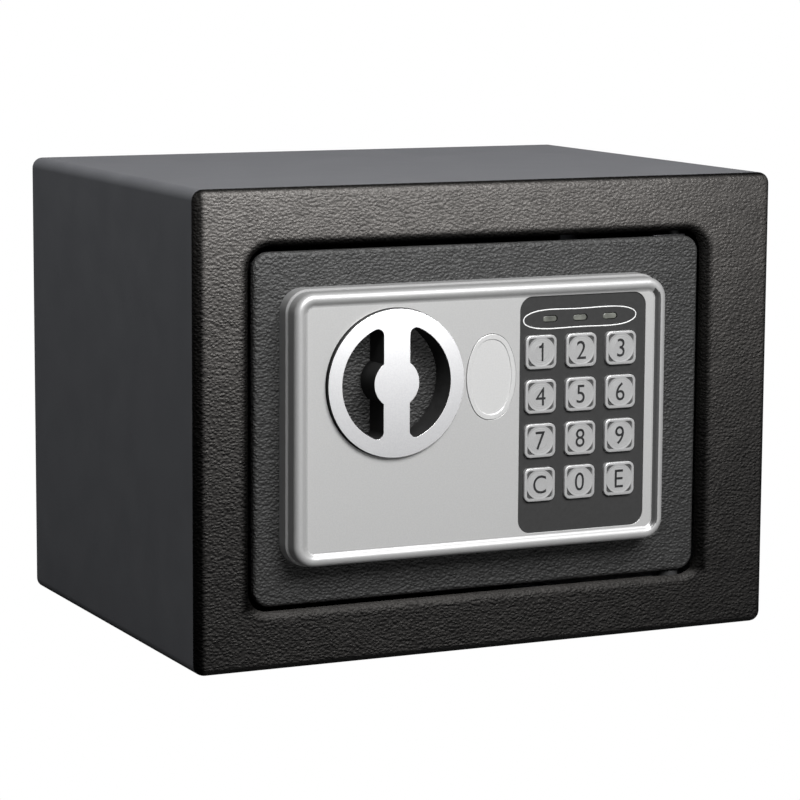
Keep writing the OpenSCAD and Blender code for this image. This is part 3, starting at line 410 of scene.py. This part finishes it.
def roundedPlate(bm, wide, high, radius, level, segments=8):
    before = set(bm.faces)
    verts = bmesh.ops.create_grid(bm, x_segments=1, y_segments=1, size=0.5)["verts"]
    bmesh.ops.scale(bm, vec=(wide, high, 1), verts=verts)
    bmesh.ops.translate(bm, vec=(0, 0, level), verts=verts)
    bmesh.ops.bevel(bm, geom=verts, offset=radius, offset_type="OFFSET", affect="VERTICES", segments=segments,
                    profile=0.5, material=-1)
    return [f for f in bm.faces if f not in before][0]


def disc(bm, radius, level, segments=48):
    made = bmesh.ops.create_circle(bm, cap_ends=True, segments=segments, radius=radius)
    bmesh.ops.translate(bm, vec=(0, 0, level), verts=made["verts"])
    return made["verts"][0].link_faces[0]


def stepUp(bm, face, inward, up):
    # one step of a profile: the face shrinks inward and rises
    if inward > 1e-9:
        bmesh.ops.inset_region(bm, faces=[face], thickness=inward, depth=up, use_boundary=True,
                               use_even_offset=True)
        return face
    made = bmesh.ops.extrude_face_region(bm, geom=[face])
    verts = [g for g in made["geom"] if isinstance(g, bmesh.types.BMVert)]
    top = [g for g in made["geom"] if isinstance(g, bmesh.types.BMFace)][0]
    bmesh.ops.translate(bm, vec=(0, 0, up), verts=verts)
    if face.is_valid:
        bmesh.ops.delete(bm, geom=[face], context="FACES_ONLY")
    return top


def profileUp(bm, face, profile):
    for (inA, upA), (inB, upB) in zip(profile, profile[1:]):
        face = stepUp(bm, face, inB - inA, upB - upA)
    return face


def closeBack(bm, level):
    # a lid on the open loop at a level
    rim = [e for e in bm.edges if e.is_boundary and all(abs(v.co.z - level) < 1e-7 for v in e.verts)]
    if rim:
        bmesh.ops.holes_fill(bm, edges=rim, sides=0)


def rod(bm, radius, low, rise, segments=48):
    # a closed cylinder that stands on a level
    stepUp(bm, disc(bm, radius, low, segments), 0, rise)
    closeBack(bm, low)


def curveMesh(curve):
    # the mesh of a curve or text, which then goes
    holder = bpy.data.objects.new(curve.name, curve)
    bpy.context.scene.collection.objects.link(holder)
    bpy.context.view_layer.update()
    mesh = bpy.data.meshes.new_from_object(holder.evaluated_get(bpy.context.evaluated_depsgraph_get()))
    bpy.data.objects.remove(holder)
    return mesh


def pieceOfMesh(name, mesh, mat, angle):
    piece = bpy.data.objects.new(name, mesh)
    bpy.context.scene.collection.objects.link(piece)
    mesh.materials.clear()
    mesh.materials.append(mat)
    softShade(piece, angle)
    return piece


def cut(piece, tool, operation="DIFFERENCE"):
    blade = piece.modifiers.new("cut", "BOOLEAN")
    blade.operation = operation
    blade.solver = "EXACT"
    blade.object = tool
    applyModifiers(piece)
    bpy.data.objects.remove(tool)


# body, frame and door
refine("body_shell", "body_paint", paintShell, 0.25)
refine("back_panel", "body_paint", paintShell, 0.3)
refine("front_frame", "front_paint", paintFrame, 0.2, angle=40)
refine("door_plate", "door_paint", paintDoor, 0.25)
bezel = refine("bezel", "silver_plastic", silverPanel, 0.22, 3)
# inner is how far a face of the rim leans in before it takes the near-black silver, painted shade on the
# right rim's inward slope
bezelPlan = {"x": -8.5, "z": 86.0, "wide": 149.0, "high": 98.0, "rim": 6.2, "inner": -0.2}
bezel.data.materials.append(silverRim)
bezel.data.materials.append(silverDeep)
for face in bezel.data.polygons:  # the rim round the panel is rougher than the panel, and its darker silver is painted shade
    offX = bezelPlan["wide"] / 2 - abs(face.center.x / mm - bezelPlan["x"])
    offZ = bezelPlan["high"] / 2 - abs(face.center.z / mm - bezelPlan["z"])
    if min(offX, offZ) < bezelPlan["rim"]:
        onRight = face.center.x > bezelPlan["x"] * mm and offX < bezelPlan["rim"]
        face.material_index = 2 if onRight and face.normal.x < bezelPlan["inner"] else 1
refine("keyhole_cover", "silver_plastic", silverOval, 0.55, 4)
print("body, frame, door and bezel done")

# knob: a ring, a bar and a hub over two wells; faces that look forward more than facing are silver
knobPlan = {"x": -43.8, "z": 101.2, "radius": 26.25, "ring": 5.25, "bar": 10.1, "hub": 8.65, "low": 1.2,
            "top": 13.0, "wellCorner": 2.4, "wellDeep": 20, "edge": 0.45, "socket": 4, "socketLow": -1,
            "socketDeep": 10, "facing": 0.35, "roundness": 128, "hubRoundness": 72, "wellRoundness": 144,
            "cornerRoundness": 40}


def buildKnob(plan):
    low = plan["low"] * mm
    rise = (plan["top"] - plan["low"]) * mm
    bm = bmesh.new()
    rod(bm, plan["radius"] * mm, low, rise, plan["roundness"])
    knob = makePiece("knob_turned", bm, knobCore, silverKnob)
    inner = plan["radius"] - plan["ring"]
    r = plan["wellCorner"]
    edgeX = plan["bar"] / 2
    cornerY = math.sqrt((inner - r) ** 2 - (edgeX + r) ** 2)
    stay = math.atan2(cornerY, edgeX + r)
    for side in (-1, 1):
        # a well is the hull of an arc of the ring and two round corners at the bar
        bm = bmesh.new()
        arc = bmesh.ops.create_circle(bm, segments=plan["wellRoundness"], radius=inner * mm)["verts"]
        drop = [v for v in arc if v.co.x < inner * mm * math.cos(stay)]
        bmesh.ops.delete(bm, geom=drop, context="VERTS")
        for k in (-1, 1):
            corner = bmesh.ops.create_circle(bm, segments=plan["cornerRoundness"], radius=r * mm)["verts"]
            bmesh.ops.translate(bm, vec=((edgeX + r) * mm, k * cornerY * mm, 0), verts=corner)
        copied = bmesh.ops.duplicate(bm, geom=list(bm.verts))["geom"]
        raised = [g for g in copied if isinstance(g, bmesh.types.BMVert)]
        bmesh.ops.translate(bm, vec=(0, 0, plan["wellDeep"] * mm), verts=raised)
        hull = bmesh.ops.convex_hull(bm, input=list(bm.verts))
        loose = [g for g in hull["geom_interior"] + hull["geom_unused"] if isinstance(g, bmesh.types.BMVert)]
        bmesh.ops.delete(bm, geom=list(set(loose)), context="VERTS")
        bmesh.ops.dissolve_limit(bm, angle_limit=0.01, verts=bm.verts, edges=bm.edges, delimit=set())
        if side < 0:
            bmesh.ops.rotate(bm, cent=(0, 0, 0), matrix=Matrix.Rotation(math.pi, 3, "Z"), verts=bm.verts)
        bmesh.ops.recalc_face_normals(bm, faces=bm.faces)
        cut(knob, makePiece("well", bm, knobCore))
    bm = bmesh.new()
    rod(bm, plan["hub"] * mm, low, rise, plan["hubRoundness"])
    cut(knob, makePiece("hub", bm, knobCore), "UNION")
    bm = bmesh.new()
    rod(bm, plan["socket"] * mm, plan["socketLow"] * mm, plan["socketDeep"] * mm)
    cut(knob, makePiece("socket", bm, knobCore))
    softShade(knob, 30)
    roundEdges(knob, plan["edge"] * mm, 3, 50)
    applyModifiers(knob)
    for face in knob.data.polygons:
        face.material_index = 1 if face.normal.z > plan["facing"] else 0
    knob.data.transform(onFront(plan["x"], plan["z"]))
    return knob


standFor(buildKnob(knobPlan), "knob_silver", "knob")
print("knob done")

# keypad: panel with an outlined light window, and twelve keys
padPlan = {"keysX": 30.1, "rows": (109.15, 93.15, 77.15, 61.15), "pitch": 16.3, "lightsX": 30.0,
           "lights": 120.8, "top": 10.6, "line": 0.19, "flat": 0.4,
           "stops": [(-22.9, -0.3), (-21.4, 1.75), (0, 3.3), (21.4, 2.1), (22.9, 0.3), (21.4, -1.75),
                     (0, -3.3), (-21.4, -2.1)]}
refine("keypad_panel", "pad_plastic", padFace, 0.15)
refine("status_lights", "lens", lensClear, 0.35, 3)


def buildOutline(plan):
    curve = bpy.data.curves.new("lightOutline", "CURVE")
    curve.dimensions = "3D"
    curve.bevel_depth = plan["line"] * mm
    curve.bevel_resolution = 2
    curve.resolution_u = 12
    spline = curve.splines.new("BEZIER")
    spline.bezier_points.add(len(plan["stops"]) - 1)
    for point, (x, y) in zip(spline.bezier_points, plan["stops"]):
        point.co = (x * mm, y * mm, 0)
        point.handle_left_type = "AUTO"
        point.handle_right_type = "AUTO"
    spline.use_cyclic_u = True
    mesh = curveMesh(curve)
    mesh.transform(Matrix.Diagonal((1, 1, plan["flat"], 1)))  # printed lines are nearly flat
    mesh.transform(onFront(plan["lightsX"], plan["lights"], plan["top"]))
    outline = pieceOfMesh("light_outline", mesh, padLine, 60)
    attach(outline, "door")


buildOutline(padPlan)

# edge points are (inward, up from the top), steps and grooves are radii on the dished disc, and one is the
# outline of the numeral 1
keyPlan = {"wide": 12.4, "high": 12.2, "radius": 2.3, "low": 8.4, "top": 11.8, "flange": 0.9,
           "flangeOut": 0.5, "edge": [(0, -0.3), (0.05, -0.14), (0.14, -0.04), (0.3, 0)], "border": 1.0,
           "slope": 0.15, "sink": 0.34, "buried": 0.1, "dish": 5.4, "dishDepth": 0.24, "roundness": 56,
           "steps": (5.15, 4.9, 4.55, 4.4, 4.2, 3.85, 3.7, 3.5, 3.1, 2.95, 2.75, 1.9, 1.0, 0.4),
           "grooves": (4.55, 3.85, 3.1), "grooveDepth": 0.07, "legend": 6.6, "fontScale": 1.37,
           "squeeze": 0.9, "ink": 0.05,
           "one": [(0.03, -0.5), (0.15, -0.5), (0.15, 0.5), (0.06, 0.5), (-0.02, 0.37), (-0.15, 0.33),
                   (-0.15, 0.22), (0.03, 0.22)]}
legendMarks = [["1", "2", "3"], ["4", "5", "6"], ["7", "8", "9"], ["C", "0", "E"]]


def dishLevel(plan, r):
    return plan["top"] - plan["dishDepth"] * (1 - min(1, r / plan["dish"]) ** 2)


def buildLegend(plan, mark):
    curve = bpy.data.curves.new("legend", "FONT")
    curve.body = mark
    curve.size = plan["legend"] * plan["fontScale"] * mm
    curve.align_x = "CENTER"
    curve.align_y = "CENTER"
    curve.resolution_u = 6
    mesh = curveMesh(curve)
    bm = bmesh.new()
    bm.from_mesh(mesh)
    bpy.data.meshes.remove(mesh)
    if mark == "1":  # drawn here for a flag that the font's numeral lacks
        bm.clear()
        stem = [bm.verts.new((x, y, 0)) for x, y in plan["one"]]
        bm.faces.new(stem[:4] + stem[-1:])
        bm.faces.new(stem[3:])
    xs = [v.co.x for v in bm.verts]
    ys = [v.co.y for v in bm.verts]
    middle = Vector(((min(xs) + max(xs)) / 2, (min(ys) + max(ys)) / 2, 0))
    bmesh.ops.translate(bm, vec=-middle, verts=bm.verts)
    tall = plan["legend"] * mm / (max(ys) - min(ys))
    bmesh.ops.scale(bm, vec=(plan["squeeze"] * tall, tall, 1), verts=bm.verts)
    for v in bm.verts:
        v.co.z = (dishLevel(plan, v.co.xy.length / mm) + plan["ink"]) * mm
    return bm


def buildKey(plan, mark, x, z, node):
    bm = bmesh.new()
    low = plan["low"] * mm
    # flange below the panel
    out = 2 * plan["flangeOut"]
    foot = roundedPlate(bm, (plan["wide"] + out) * mm, (plan["high"] + out) * mm, plan["radius"] * mm, low)
    stepUp(bm, foot, 0, plan["flange"] * mm)
    closeBack(bm, low)
    # border, rounded outside, with a sunk field inside it
    face = roundedPlate(bm, plan["wide"] * mm, plan["high"] * mm, plan["radius"] * mm, low)
    rise = plan["top"] - plan["low"]
    profile = [(0, 0)] + [(inward, rise + up) for inward, up in plan["edge"]]
    profile += [(plan["border"], rise), (plan["border"] + plan["slope"], rise - plan["sink"])]
    field = profileUp(bm, face, [(a * mm, b * mm) for a, b in profile])
    field.material_index = 1
    # dished disc with turned grooves, buried a little in the field
    face = disc(bm, plan["dish"] * mm, (plan["top"] - plan["sink"] - plan["buried"]) * mm, plan["roundness"])
    face = stepUp(bm, face, 0, (plan["sink"] + plan["buried"]) * mm)
    level = plan["top"]
    r = plan["dish"]
    for step in plan["steps"]:
        target = dishLevel(plan, step) - (plan["grooveDepth"] if step in plan["grooves"] else 0)
        face = stepUp(bm, face, (r - step) * mm, (target - level) * mm)
        level = target
        r = step
    legend = buildLegend(plan, mark)
    marks = bpy.data.meshes.new("marks")
    legend.to_mesh(marks)
    legend.free()
    before = len(bm.faces)
    bm.from_mesh(marks)
    bpy.data.meshes.remove(marks)
    bm.faces.ensure_lookup_table()
    for i in range(before, len(bm.faces)):
        bm.faces[i].material_index = 2
    key = makePiece(node + "_cap", bm, keySilver, keyDark, keyInk)
    key.data.transform(onFront(x, z))
    softShade(key, 40)
    standFor(key, "key_silver", node)


for row, marks in enumerate(legendMarks):
    for column, mark in enumerate(marks):
        buildKey(keyPlan, mark, padPlan["keysX"] + (column - 1) * padPlan["pitch"], padPlan["rows"][row],
                 "key_" + mark.lower())
print("keypad done")

# plain hardware, edges broken
hardware = [
    ("floor_mat", "carpet", feltBlack, 0.4), ("hinge_bracket_upper", "black_steel", steelBlack, 0.25),
    ("hinge_bracket_lower", "black_steel", steelBlack, 0.25), ("hinge_pins", "black_steel", steelBlack, 0.3),
    ("hinge_spacer", "black_plastic", blackPlastic, 0.2), ("hinge_lugs", "black_steel", steelBlack, 0.3),
    ("bezel_screws", "zinc_steel", steelZinc, 0.3), ("keypad_mat", "rubber_mat", rubberGrey, 0.2),
    ("board_spacers", "black_plastic", paleNylon, 0.15), ("spindle_bush", "brass", brassTurned, 0.2),
    ("bolt_guide", "zinc_steel", steelZinc, 0.25), ("carrier_stud", "bright_steel", steelBright, 0.25),
    ("lock_housing", "bright_steel", steelBright, 0.3), ("lock_nut", "zinc_steel", steelZinc, 0.3),
    ("solenoid_frame", "zinc_steel", steelZinc, 0.2), ("cover_posts", "brass", brassTurned, 0.2),
    ("cover_screws", "zinc_steel", steelZinc, 0.3), ("battery_box", "black_plastic", blackPlastic, 0.25),
    ("battery_contacts", "bright_steel", steelBright, 0.08),
    ("reset_switch", "black_plastic", blackPlastic, 0.3),
    ("knob_spindle", "bright_steel", steelBright, 0.3), ("drive_cam", "zinc_steel", steelZinc, 0.25),
    ("spindle_clip", "bright_steel", steelBright, 0.15), ("bolt_carrier", "zinc_steel", steelZinc, 0.2),
    ("upper_bolt", "bright_steel", steelBright, 0.3), ("lower_bolt", "bright_steel", steelBright, 0.3),
    ("bolt_nuts", "brass", brassTurned, 0.3), ("plunger", "bright_steel", steelBright, 0.25),
    ("lock_plug", "brass", brassTurned, 0.2), ("lock_cam", "zinc_steel", steelZinc, 0.25),
    ("reset_button", "red_plastic", redPlastic, 0.4), ("battery_lid", "black_plastic", blackPlastic, 0.25),
    ("wire_grommet", "black_plastic", blackPlastic, 0.3), ("door_cover", "cover_paint", paintInner, 0.3),
]
for node, slot, mat, width in hardware:
    refine(node, slot, mat, width)
print("hardware done")


# coil, spring, cells, board and wires
def helixPoints(radius, turns, low, high, perTurn, x, y):
    count = int(turns * perTurn)
    step = 2 * math.pi / perTurn
    return [(x + radius * math.cos(step * i), y + radius * math.sin(step * i), low + (high - low) * i / count)
            for i in range(count + 1)]


def wireThrough(name, points, radius, mat, resolution=3, smooth=False):
    curve = bpy.data.curves.new(name, "CURVE")
    curve.dimensions = "3D"
    curve.bevel_depth = radius
    curve.bevel_resolution = resolution
    curve.use_fill_caps = True
    spline = curve.splines.new("NURBS" if smooth else "POLY")
    spline.points.add(len(points) - 1)
    for point, place in zip(spline.points, points):
        point.co = (*place, 1)
    if smooth:
        spline.use_endpoint_u = True
        spline.order_u = 4
    return pieceOfMesh(name, curveMesh(curve), mat, 70)


def joinPieces(name, pieces):
    bm = bmesh.new()
    mats = []
    for piece in pieces:
        start = len(bm.faces)
        bm.from_mesh(piece.data)
        bm.faces.ensure_lookup_table()
        own = list(piece.data.materials)
        for mat in own:
            if mat not in mats:
                mats.append(mat)
        for i in range(start, len(bm.faces)):
            bm.faces[i].material_index = mats.index(own[bm.faces[i].material_index])
        bpy.data.objects.remove(piece)
    return makePiece(name, bm, *mats)


coilPlan = {"x": -38.0, "y": -71.5, "low": 51.2, "high": 76.8, "bore": 4.4, "boreSpare": 1, "cheek": 7.5,
            "cheekThick": 1.2, "cheekOut": 1.6, "winding": 6.3, "windingIn": 1.6, "wire": 0.32, "turns": 34,
            "perTurn": 32, "roundness": 64}


def buildCoil(plan):
    # a nylon bobbin with a cheek at each end, and the winding on it
    x, y = plan["x"] * mm, plan["y"] * mm
    thick = plan["cheekThick"]
    long = plan["high"] - plan["low"]
    bm = bmesh.new()
    face = disc(bm, plan["cheek"] * mm, plan["low"] * mm, plan["roundness"])
    for inward, up in ((0, thick), (plan["cheekOut"], 0), (0, long - 2 * thick)):
        face = stepUp(bm, face, inward * mm, up * mm)
    closeBack(bm, plan["low"] * mm)
    bobbin = makePiece("bobbin", bm, paleNylon)
    bm = bmesh.new()
    rod(bm, plan["cheek"] * mm, (plan["high"] - thick) * mm, thick * mm, plan["roundness"])
    cut(bobbin, makePiece("cheek", bm, paleNylon), "UNION")
    bm = bmesh.new()
    rod(bm, plan["bore"] * mm, (plan["low"] - plan["boreSpare"]) * mm, (long + 2 * plan["boreSpare"]) * mm)
    cut(bobbin, makePiece("bore", bm, paleNylon))
    bobbin.data.transform(Matrix.Translation((x, y, 0)))
    softShade(bobbin, 35)
    turns = helixPoints(plan["winding"] * mm, plan["turns"], (plan["low"] + plan["windingIn"]) * mm,
                        (plan["high"] - plan["windingIn"]) * mm, plan["perTurn"], x, y)
    winding = wireThrough("winding", turns, plan["wire"] * mm, copperWire, 1)
    return joinPieces("coil_wound", [bobbin, winding])


standFor(buildCoil(coilPlan), "copper", "solenoid_coil")

springPlan = {"x": -38.0, "y": -71.5, "low": 78.0, "high": 82.0, "radius": 5.0, "wire": 0.3, "turns": 4,
              "perTurn": 28}


def buildSpring(plan):
    x, y = plan["x"] * mm, plan["y"] * mm
    low = (plan["low"] + plan["wire"]) * mm
    high = (plan["high"] - plan["wire"]) * mm
    turns = helixPoints(plan["radius"] * mm, plan["turns"], low, high, plan["perTurn"], x, y)
    spring = wireThrough("plunger_coil_spring", turns, plan["wire"] * mm, steelBright, 2)
    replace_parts(spring, "plunger_spring")
    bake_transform(spring)
    shown.add("plunger_spring")


buildSpring(springPlan)

# a cell is a sleeve, a gold band and a crown of (inward, up) steps, which is steel from the step washer on
cellPlan = {"x": 26.0, "y": -56.5, "z": 61.0, "pitch": 15, "foot": -25.0, "radius": 7.2, "sleeve": 35.7,
            "band": 13, "washer": 1, "flips": (1, -1, 1, -1),
            "crown": [(0.35, 0.3), (1.0, 0.0), (3.1, -0.15), (0.25, 0.5), (0, 0.7), (0.25, 0.0)]}


def buildCell(plan, z, flip):
    bm = bmesh.new()
    base = disc(bm, plan["radius"] * mm, plan["foot"] * mm)
    body = stepUp(bm, base, 0, plan["sleeve"] * mm)
    sleeve = set(bm.faces)
    cap = stepUp(bm, body, 0, plan["band"] * mm)
    for face in bm.faces:
        if face not in sleeve and abs(face.normal.z) < 0.5:
            face.material_index = 1
    for i, (inward, up) in enumerate(plan["crown"]):
        cap = stepUp(bm, cap, inward * mm, up * mm)
        if i == plan["washer"]:
            cap.material_index = 2
    closeBack(bm, plan["foot"] * mm)
    turn = Matrix.Rotation(math.radians(90 * flip), 4, "Y")
    bm.transform(Matrix.Translation((plan["x"] * mm, plan["y"] * mm, z * mm)) @ turn)
    bmesh.ops.recalc_face_normals(bm, faces=bm.faces)
    cell = makePiece("cell", bm, cellBlue, cellGold, steelBright)
    softShade(cell, 40)
    return cell


lowestCell = cellPlan["z"] - (len(cellPlan["flips"]) - 1) / 2 * cellPlan["pitch"]
cells = joinPieces("cells_aa", [buildCell(cellPlan, lowestCell + i * cellPlan["pitch"], flip)
                                for i, flip in enumerate(cellPlan["flips"])])
standFor(cells, "cell_sleeve", "batteries")

# track points are (y, z), from the circuit board back through the door and down to the battery box
wirePlan = {"x": 30.15, "radius": 0.72, "gap": 0.82,
            "track": [(-88, 110), (-80, 110), (-70, 110.1), (-62.5, 110.2), (-60.1, 109.3), (-60.1, 107),
                      (-60.1, 102), (-60.1, 97), (-60.1, 92.6)]}


def buildWires(plan):
    strands = []
    for k, mat in ((-1, redWire), (1, blackWire)):
        track = [((plan["x"] + k * plan["gap"]) * mm, y * mm, z * mm) for y, z in plan["track"]]
        strands.append(wireThrough("strand", track, plan["radius"] * mm, mat, 3, True))
    return joinPieces("door_wires", strands)


standFor(buildWires(wirePlan), "wire_red", "wiring")

# what stands more than skin behind the board's back is a chip or a part
boardPlan = {"back": 4.2, "skin": 0.05, "pins": 13, "pitch": 2.54, "firstX": 12.5, "rows": (119, 124),
             "solder": 0.45, "squash": 0.6}


def buildBoard(plan):
    # the node's slab and parts, with finishes of their own and solder joints on the back
    board = makePiece("board_fitted", mergedMesh("circuit_board"), boardGreen, chipBlack, solderTin)
    board.data.polygons.foreach_set("use_smooth", [False] * len(board.data.polygons))
    for face in board.data.polygons:
        if face.center.y > doorFace - (plan["back"] - plan["skin"]) * mm:
            face.material_index = 1
    bm = bmesh.new()
    bm.from_mesh(board.data)
    for i in range(plan["pins"]):
        for z in plan["rows"]:
            drop = bmesh.ops.create_uvsphere(bm, u_segments=10, v_segments=6, radius=plan["solder"] * mm)
            made = drop["verts"]
            bmesh.ops.scale(bm, vec=(1, plan["squash"], 1), verts=made)
            x = plan["firstX"] + i * plan["pitch"]
            bmesh.ops.translate(bm, vec=(x * mm, doorFace - plan["back"] * mm, z * mm), verts=made)
            for face in {f for v in made for f in v.link_faces}:
                face.material_index = 2
                face.smooth = True
    bm.to_mesh(board.data)
    bm.free()
    return board


standFor(buildBoard(boardPlan), "board", "circuit_board")
print("nodes still shown as packed:", sorted(set(nodes) - shown))

# floor, world and lights
floorPlan = {"half": 4, "level": -0.0002, "colour": (0.10, 0.10, 0.10), "rough": 0.9, "glow": 1.0}
worldPlan = {"front": (0.11, 0.11, 0.115), "behind": (0.30, 0.305, 0.32), "from": 0.1, "to": 0.95}


def plainForCamera(tree, lit, plain, end):
    # the camera sees the plain tone, while the light in the room comes from the lit one
    lightPath = tree.nodes.new("ShaderNodeLightPath")
    choose = tree.nodes.new("ShaderNodeMixShader")
    tree.links.new(lightPath.outputs["Is Camera Ray"], choose.inputs["Fac"])
    tree.links.new(lit, choose.inputs[1])
    tree.links.new(plain, choose.inputs[2])
    tree.links.new(choose.outputs["Shader"], end)


def layFloor(plan):
    bm = bmesh.new()
    bmesh.ops.create_grid(bm, x_segments=2, y_segments=2, size=plan["half"])
    mat = bpy.data.materials.new("floorPale")
    mat.use_nodes = True
    tree = mat.node_tree
    shader = tree.nodes["Principled BSDF"]
    shader.inputs["Base Color"].default_value = (*plan["colour"], 1)
    shader.inputs["Roughness"].default_value = plan["rough"]
    shader.inputs["Specular IOR Level"].default_value = 0.0
    glow = tree.nodes.new("ShaderNodeEmission")
    glow.inputs["Strength"].default_value = plan["glow"]
    plainForCamera(tree, shader.outputs["BSDF"], glow.outputs["Emission"],
                   tree.nodes["Material Output"].inputs["Surface"])
    floor = makePiece("floor", bm, mat)
    floor.data.transform(Matrix.Translation((0, 0, plan["level"])))


def hangWorld(scene, plan):
    # dim in front of the safe and paler behind it
    scene.world = bpy.data.worlds.new("studio")
    scene.world.use_nodes = True
    tree = scene.world.node_tree
    sky = tree.nodes["Background"]
    sky.inputs["Strength"].default_value = 1.0
    heading = tree.nodes.new("ShaderNodeTexCoord")
    split = tree.nodes.new("ShaderNodeSeparateXYZ")
    tree.links.new(heading.outputs["Generated"], split.inputs["Vector"])
    fade = tree.nodes.new("ShaderNodeMapRange")
    fade.interpolation_type = "SMOOTHSTEP"
    fade.inputs["From Min"].default_value = plan["from"]
    fade.inputs["From Max"].default_value = plan["to"]
    tree.links.new(split.outputs["Y"], fade.inputs["Value"])
    tones = tree.nodes.new("ShaderNodeMix")
    tones.data_type = "RGBA"
    tones.inputs["A"].default_value = (*plan["front"], 1)
    tones.inputs["B"].default_value = (*plan["behind"], 1)
    tree.links.new(fade.outputs["Result"], tones.inputs["Factor"])
    tree.links.new(tones.outputs["Result"], sky.inputs["Color"])
    plain = tree.nodes.new("ShaderNodeBackground")
    plain.inputs["Color"].default_value = (1, 1, 1, 1)
    plainForCamera(tree, sky.outputs["Background"], plain.outputs["Background"],
                   tree.nodes["World Output"].inputs["Surface"])


scene = bpy.context.scene
layFloor(floorPlan)
hangWorld(scene, worldPlan)


def addSoftbox(name, place, aim, size, watts, colour):
    lamp = bpy.data.lights.new(name, "AREA")
    lamp.shape = "RECTANGLE"
    lamp.size, lamp.size_y = size
    lamp.energy = watts
    lamp.color = colour
    holder = bpy.data.objects.new(name, lamp)
    holder.location = place
    holder.rotation_euler = (Vector(aim) - Vector(place)).to_track_quat("-Z", "Y").to_euler()
    holder.visible_camera = False
    bpy.context.scene.collection.objects.link(holder)
    return holder


# each lamp is (name, place, aim, size, watts, colour, lit, flagged): it reaches only the lit nodes' pieces,
# which also cast its only shadows, or all pieces but the flagged ones
lightPlan = [
    ("front", (0.10, -1.25, 1.0), (0, 0, 0.08), (0.9, 0.7), 42.0, (1, 1, 1), (), ("front_frame",)),
    ("frontFlagged", (0.10, -1.25, 1.0), (0, 0, 0.08), (0.9, 0.7), 8.5, (1, 1, 1), ("front_frame",), ()),
    ("left", (-0.62, 0.1, 0.60), (-0.1, 0, 0.08), (0.5, 0.3), 3.4, (0.97, 0.99, 1), ("body_shell",), ()),
    ("overhead", (0.05, -0.05, 0.85), (0, 0, 0.1), (0.8, 0.35), 8.0, (1, 0.99, 0.985), ("body_shell",), ()),
    ("back", (0.5, 1.3, 0.02), (0, 0, 0.08), (0.9, 0.2), 14.0, (1, 1, 1), (), ()),
    ("strip", (-0.03, -0.150, 0.205), (-0.02, -0.085, 0.14), (0.30, 0.03), 1.5, (1, 0.965, 0.93),
     ("front_frame",), ()),
    ("stripLow", (-0.03, -0.150, 0.205), (-0.02, -0.085, 0.14), (0.30, 0.03), 0.4, (1, 1, 1),
     ("door_plate",), ()),
    ("knobLamp", (-0.044, -0.134, 0.172), (-0.044, -0.097, 0.10), (0.06, 0.02), 0.34, (1, 1, 1),
     ("knob",), ()),
]
pieceOf = {n: o for o in bpy.data.objects for n in o.get("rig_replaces", [])}
for name, place, aim, size, watts, colour, lit, flagged in lightPlan:
    lamp = addSoftbox(name, place, aim, size, watts, colour)
    if lit or flagged:
        group = bpy.data.collections.new(name + "Lit")
        for node in lit + flagged:
            group.objects.link(pieceOf[node])
        for entry in group.collection_objects:
            entry.light_linking.link_state = "INCLUDE" if lit else "EXCLUDE"
        lamp.light_linking.receiver_collection = group
        if lit:
            lamp.light_linking.blocker_collection = group
scene.view_settings.view_transform = "Standard"
scene.view_settings.look = "None"
print("studio set")
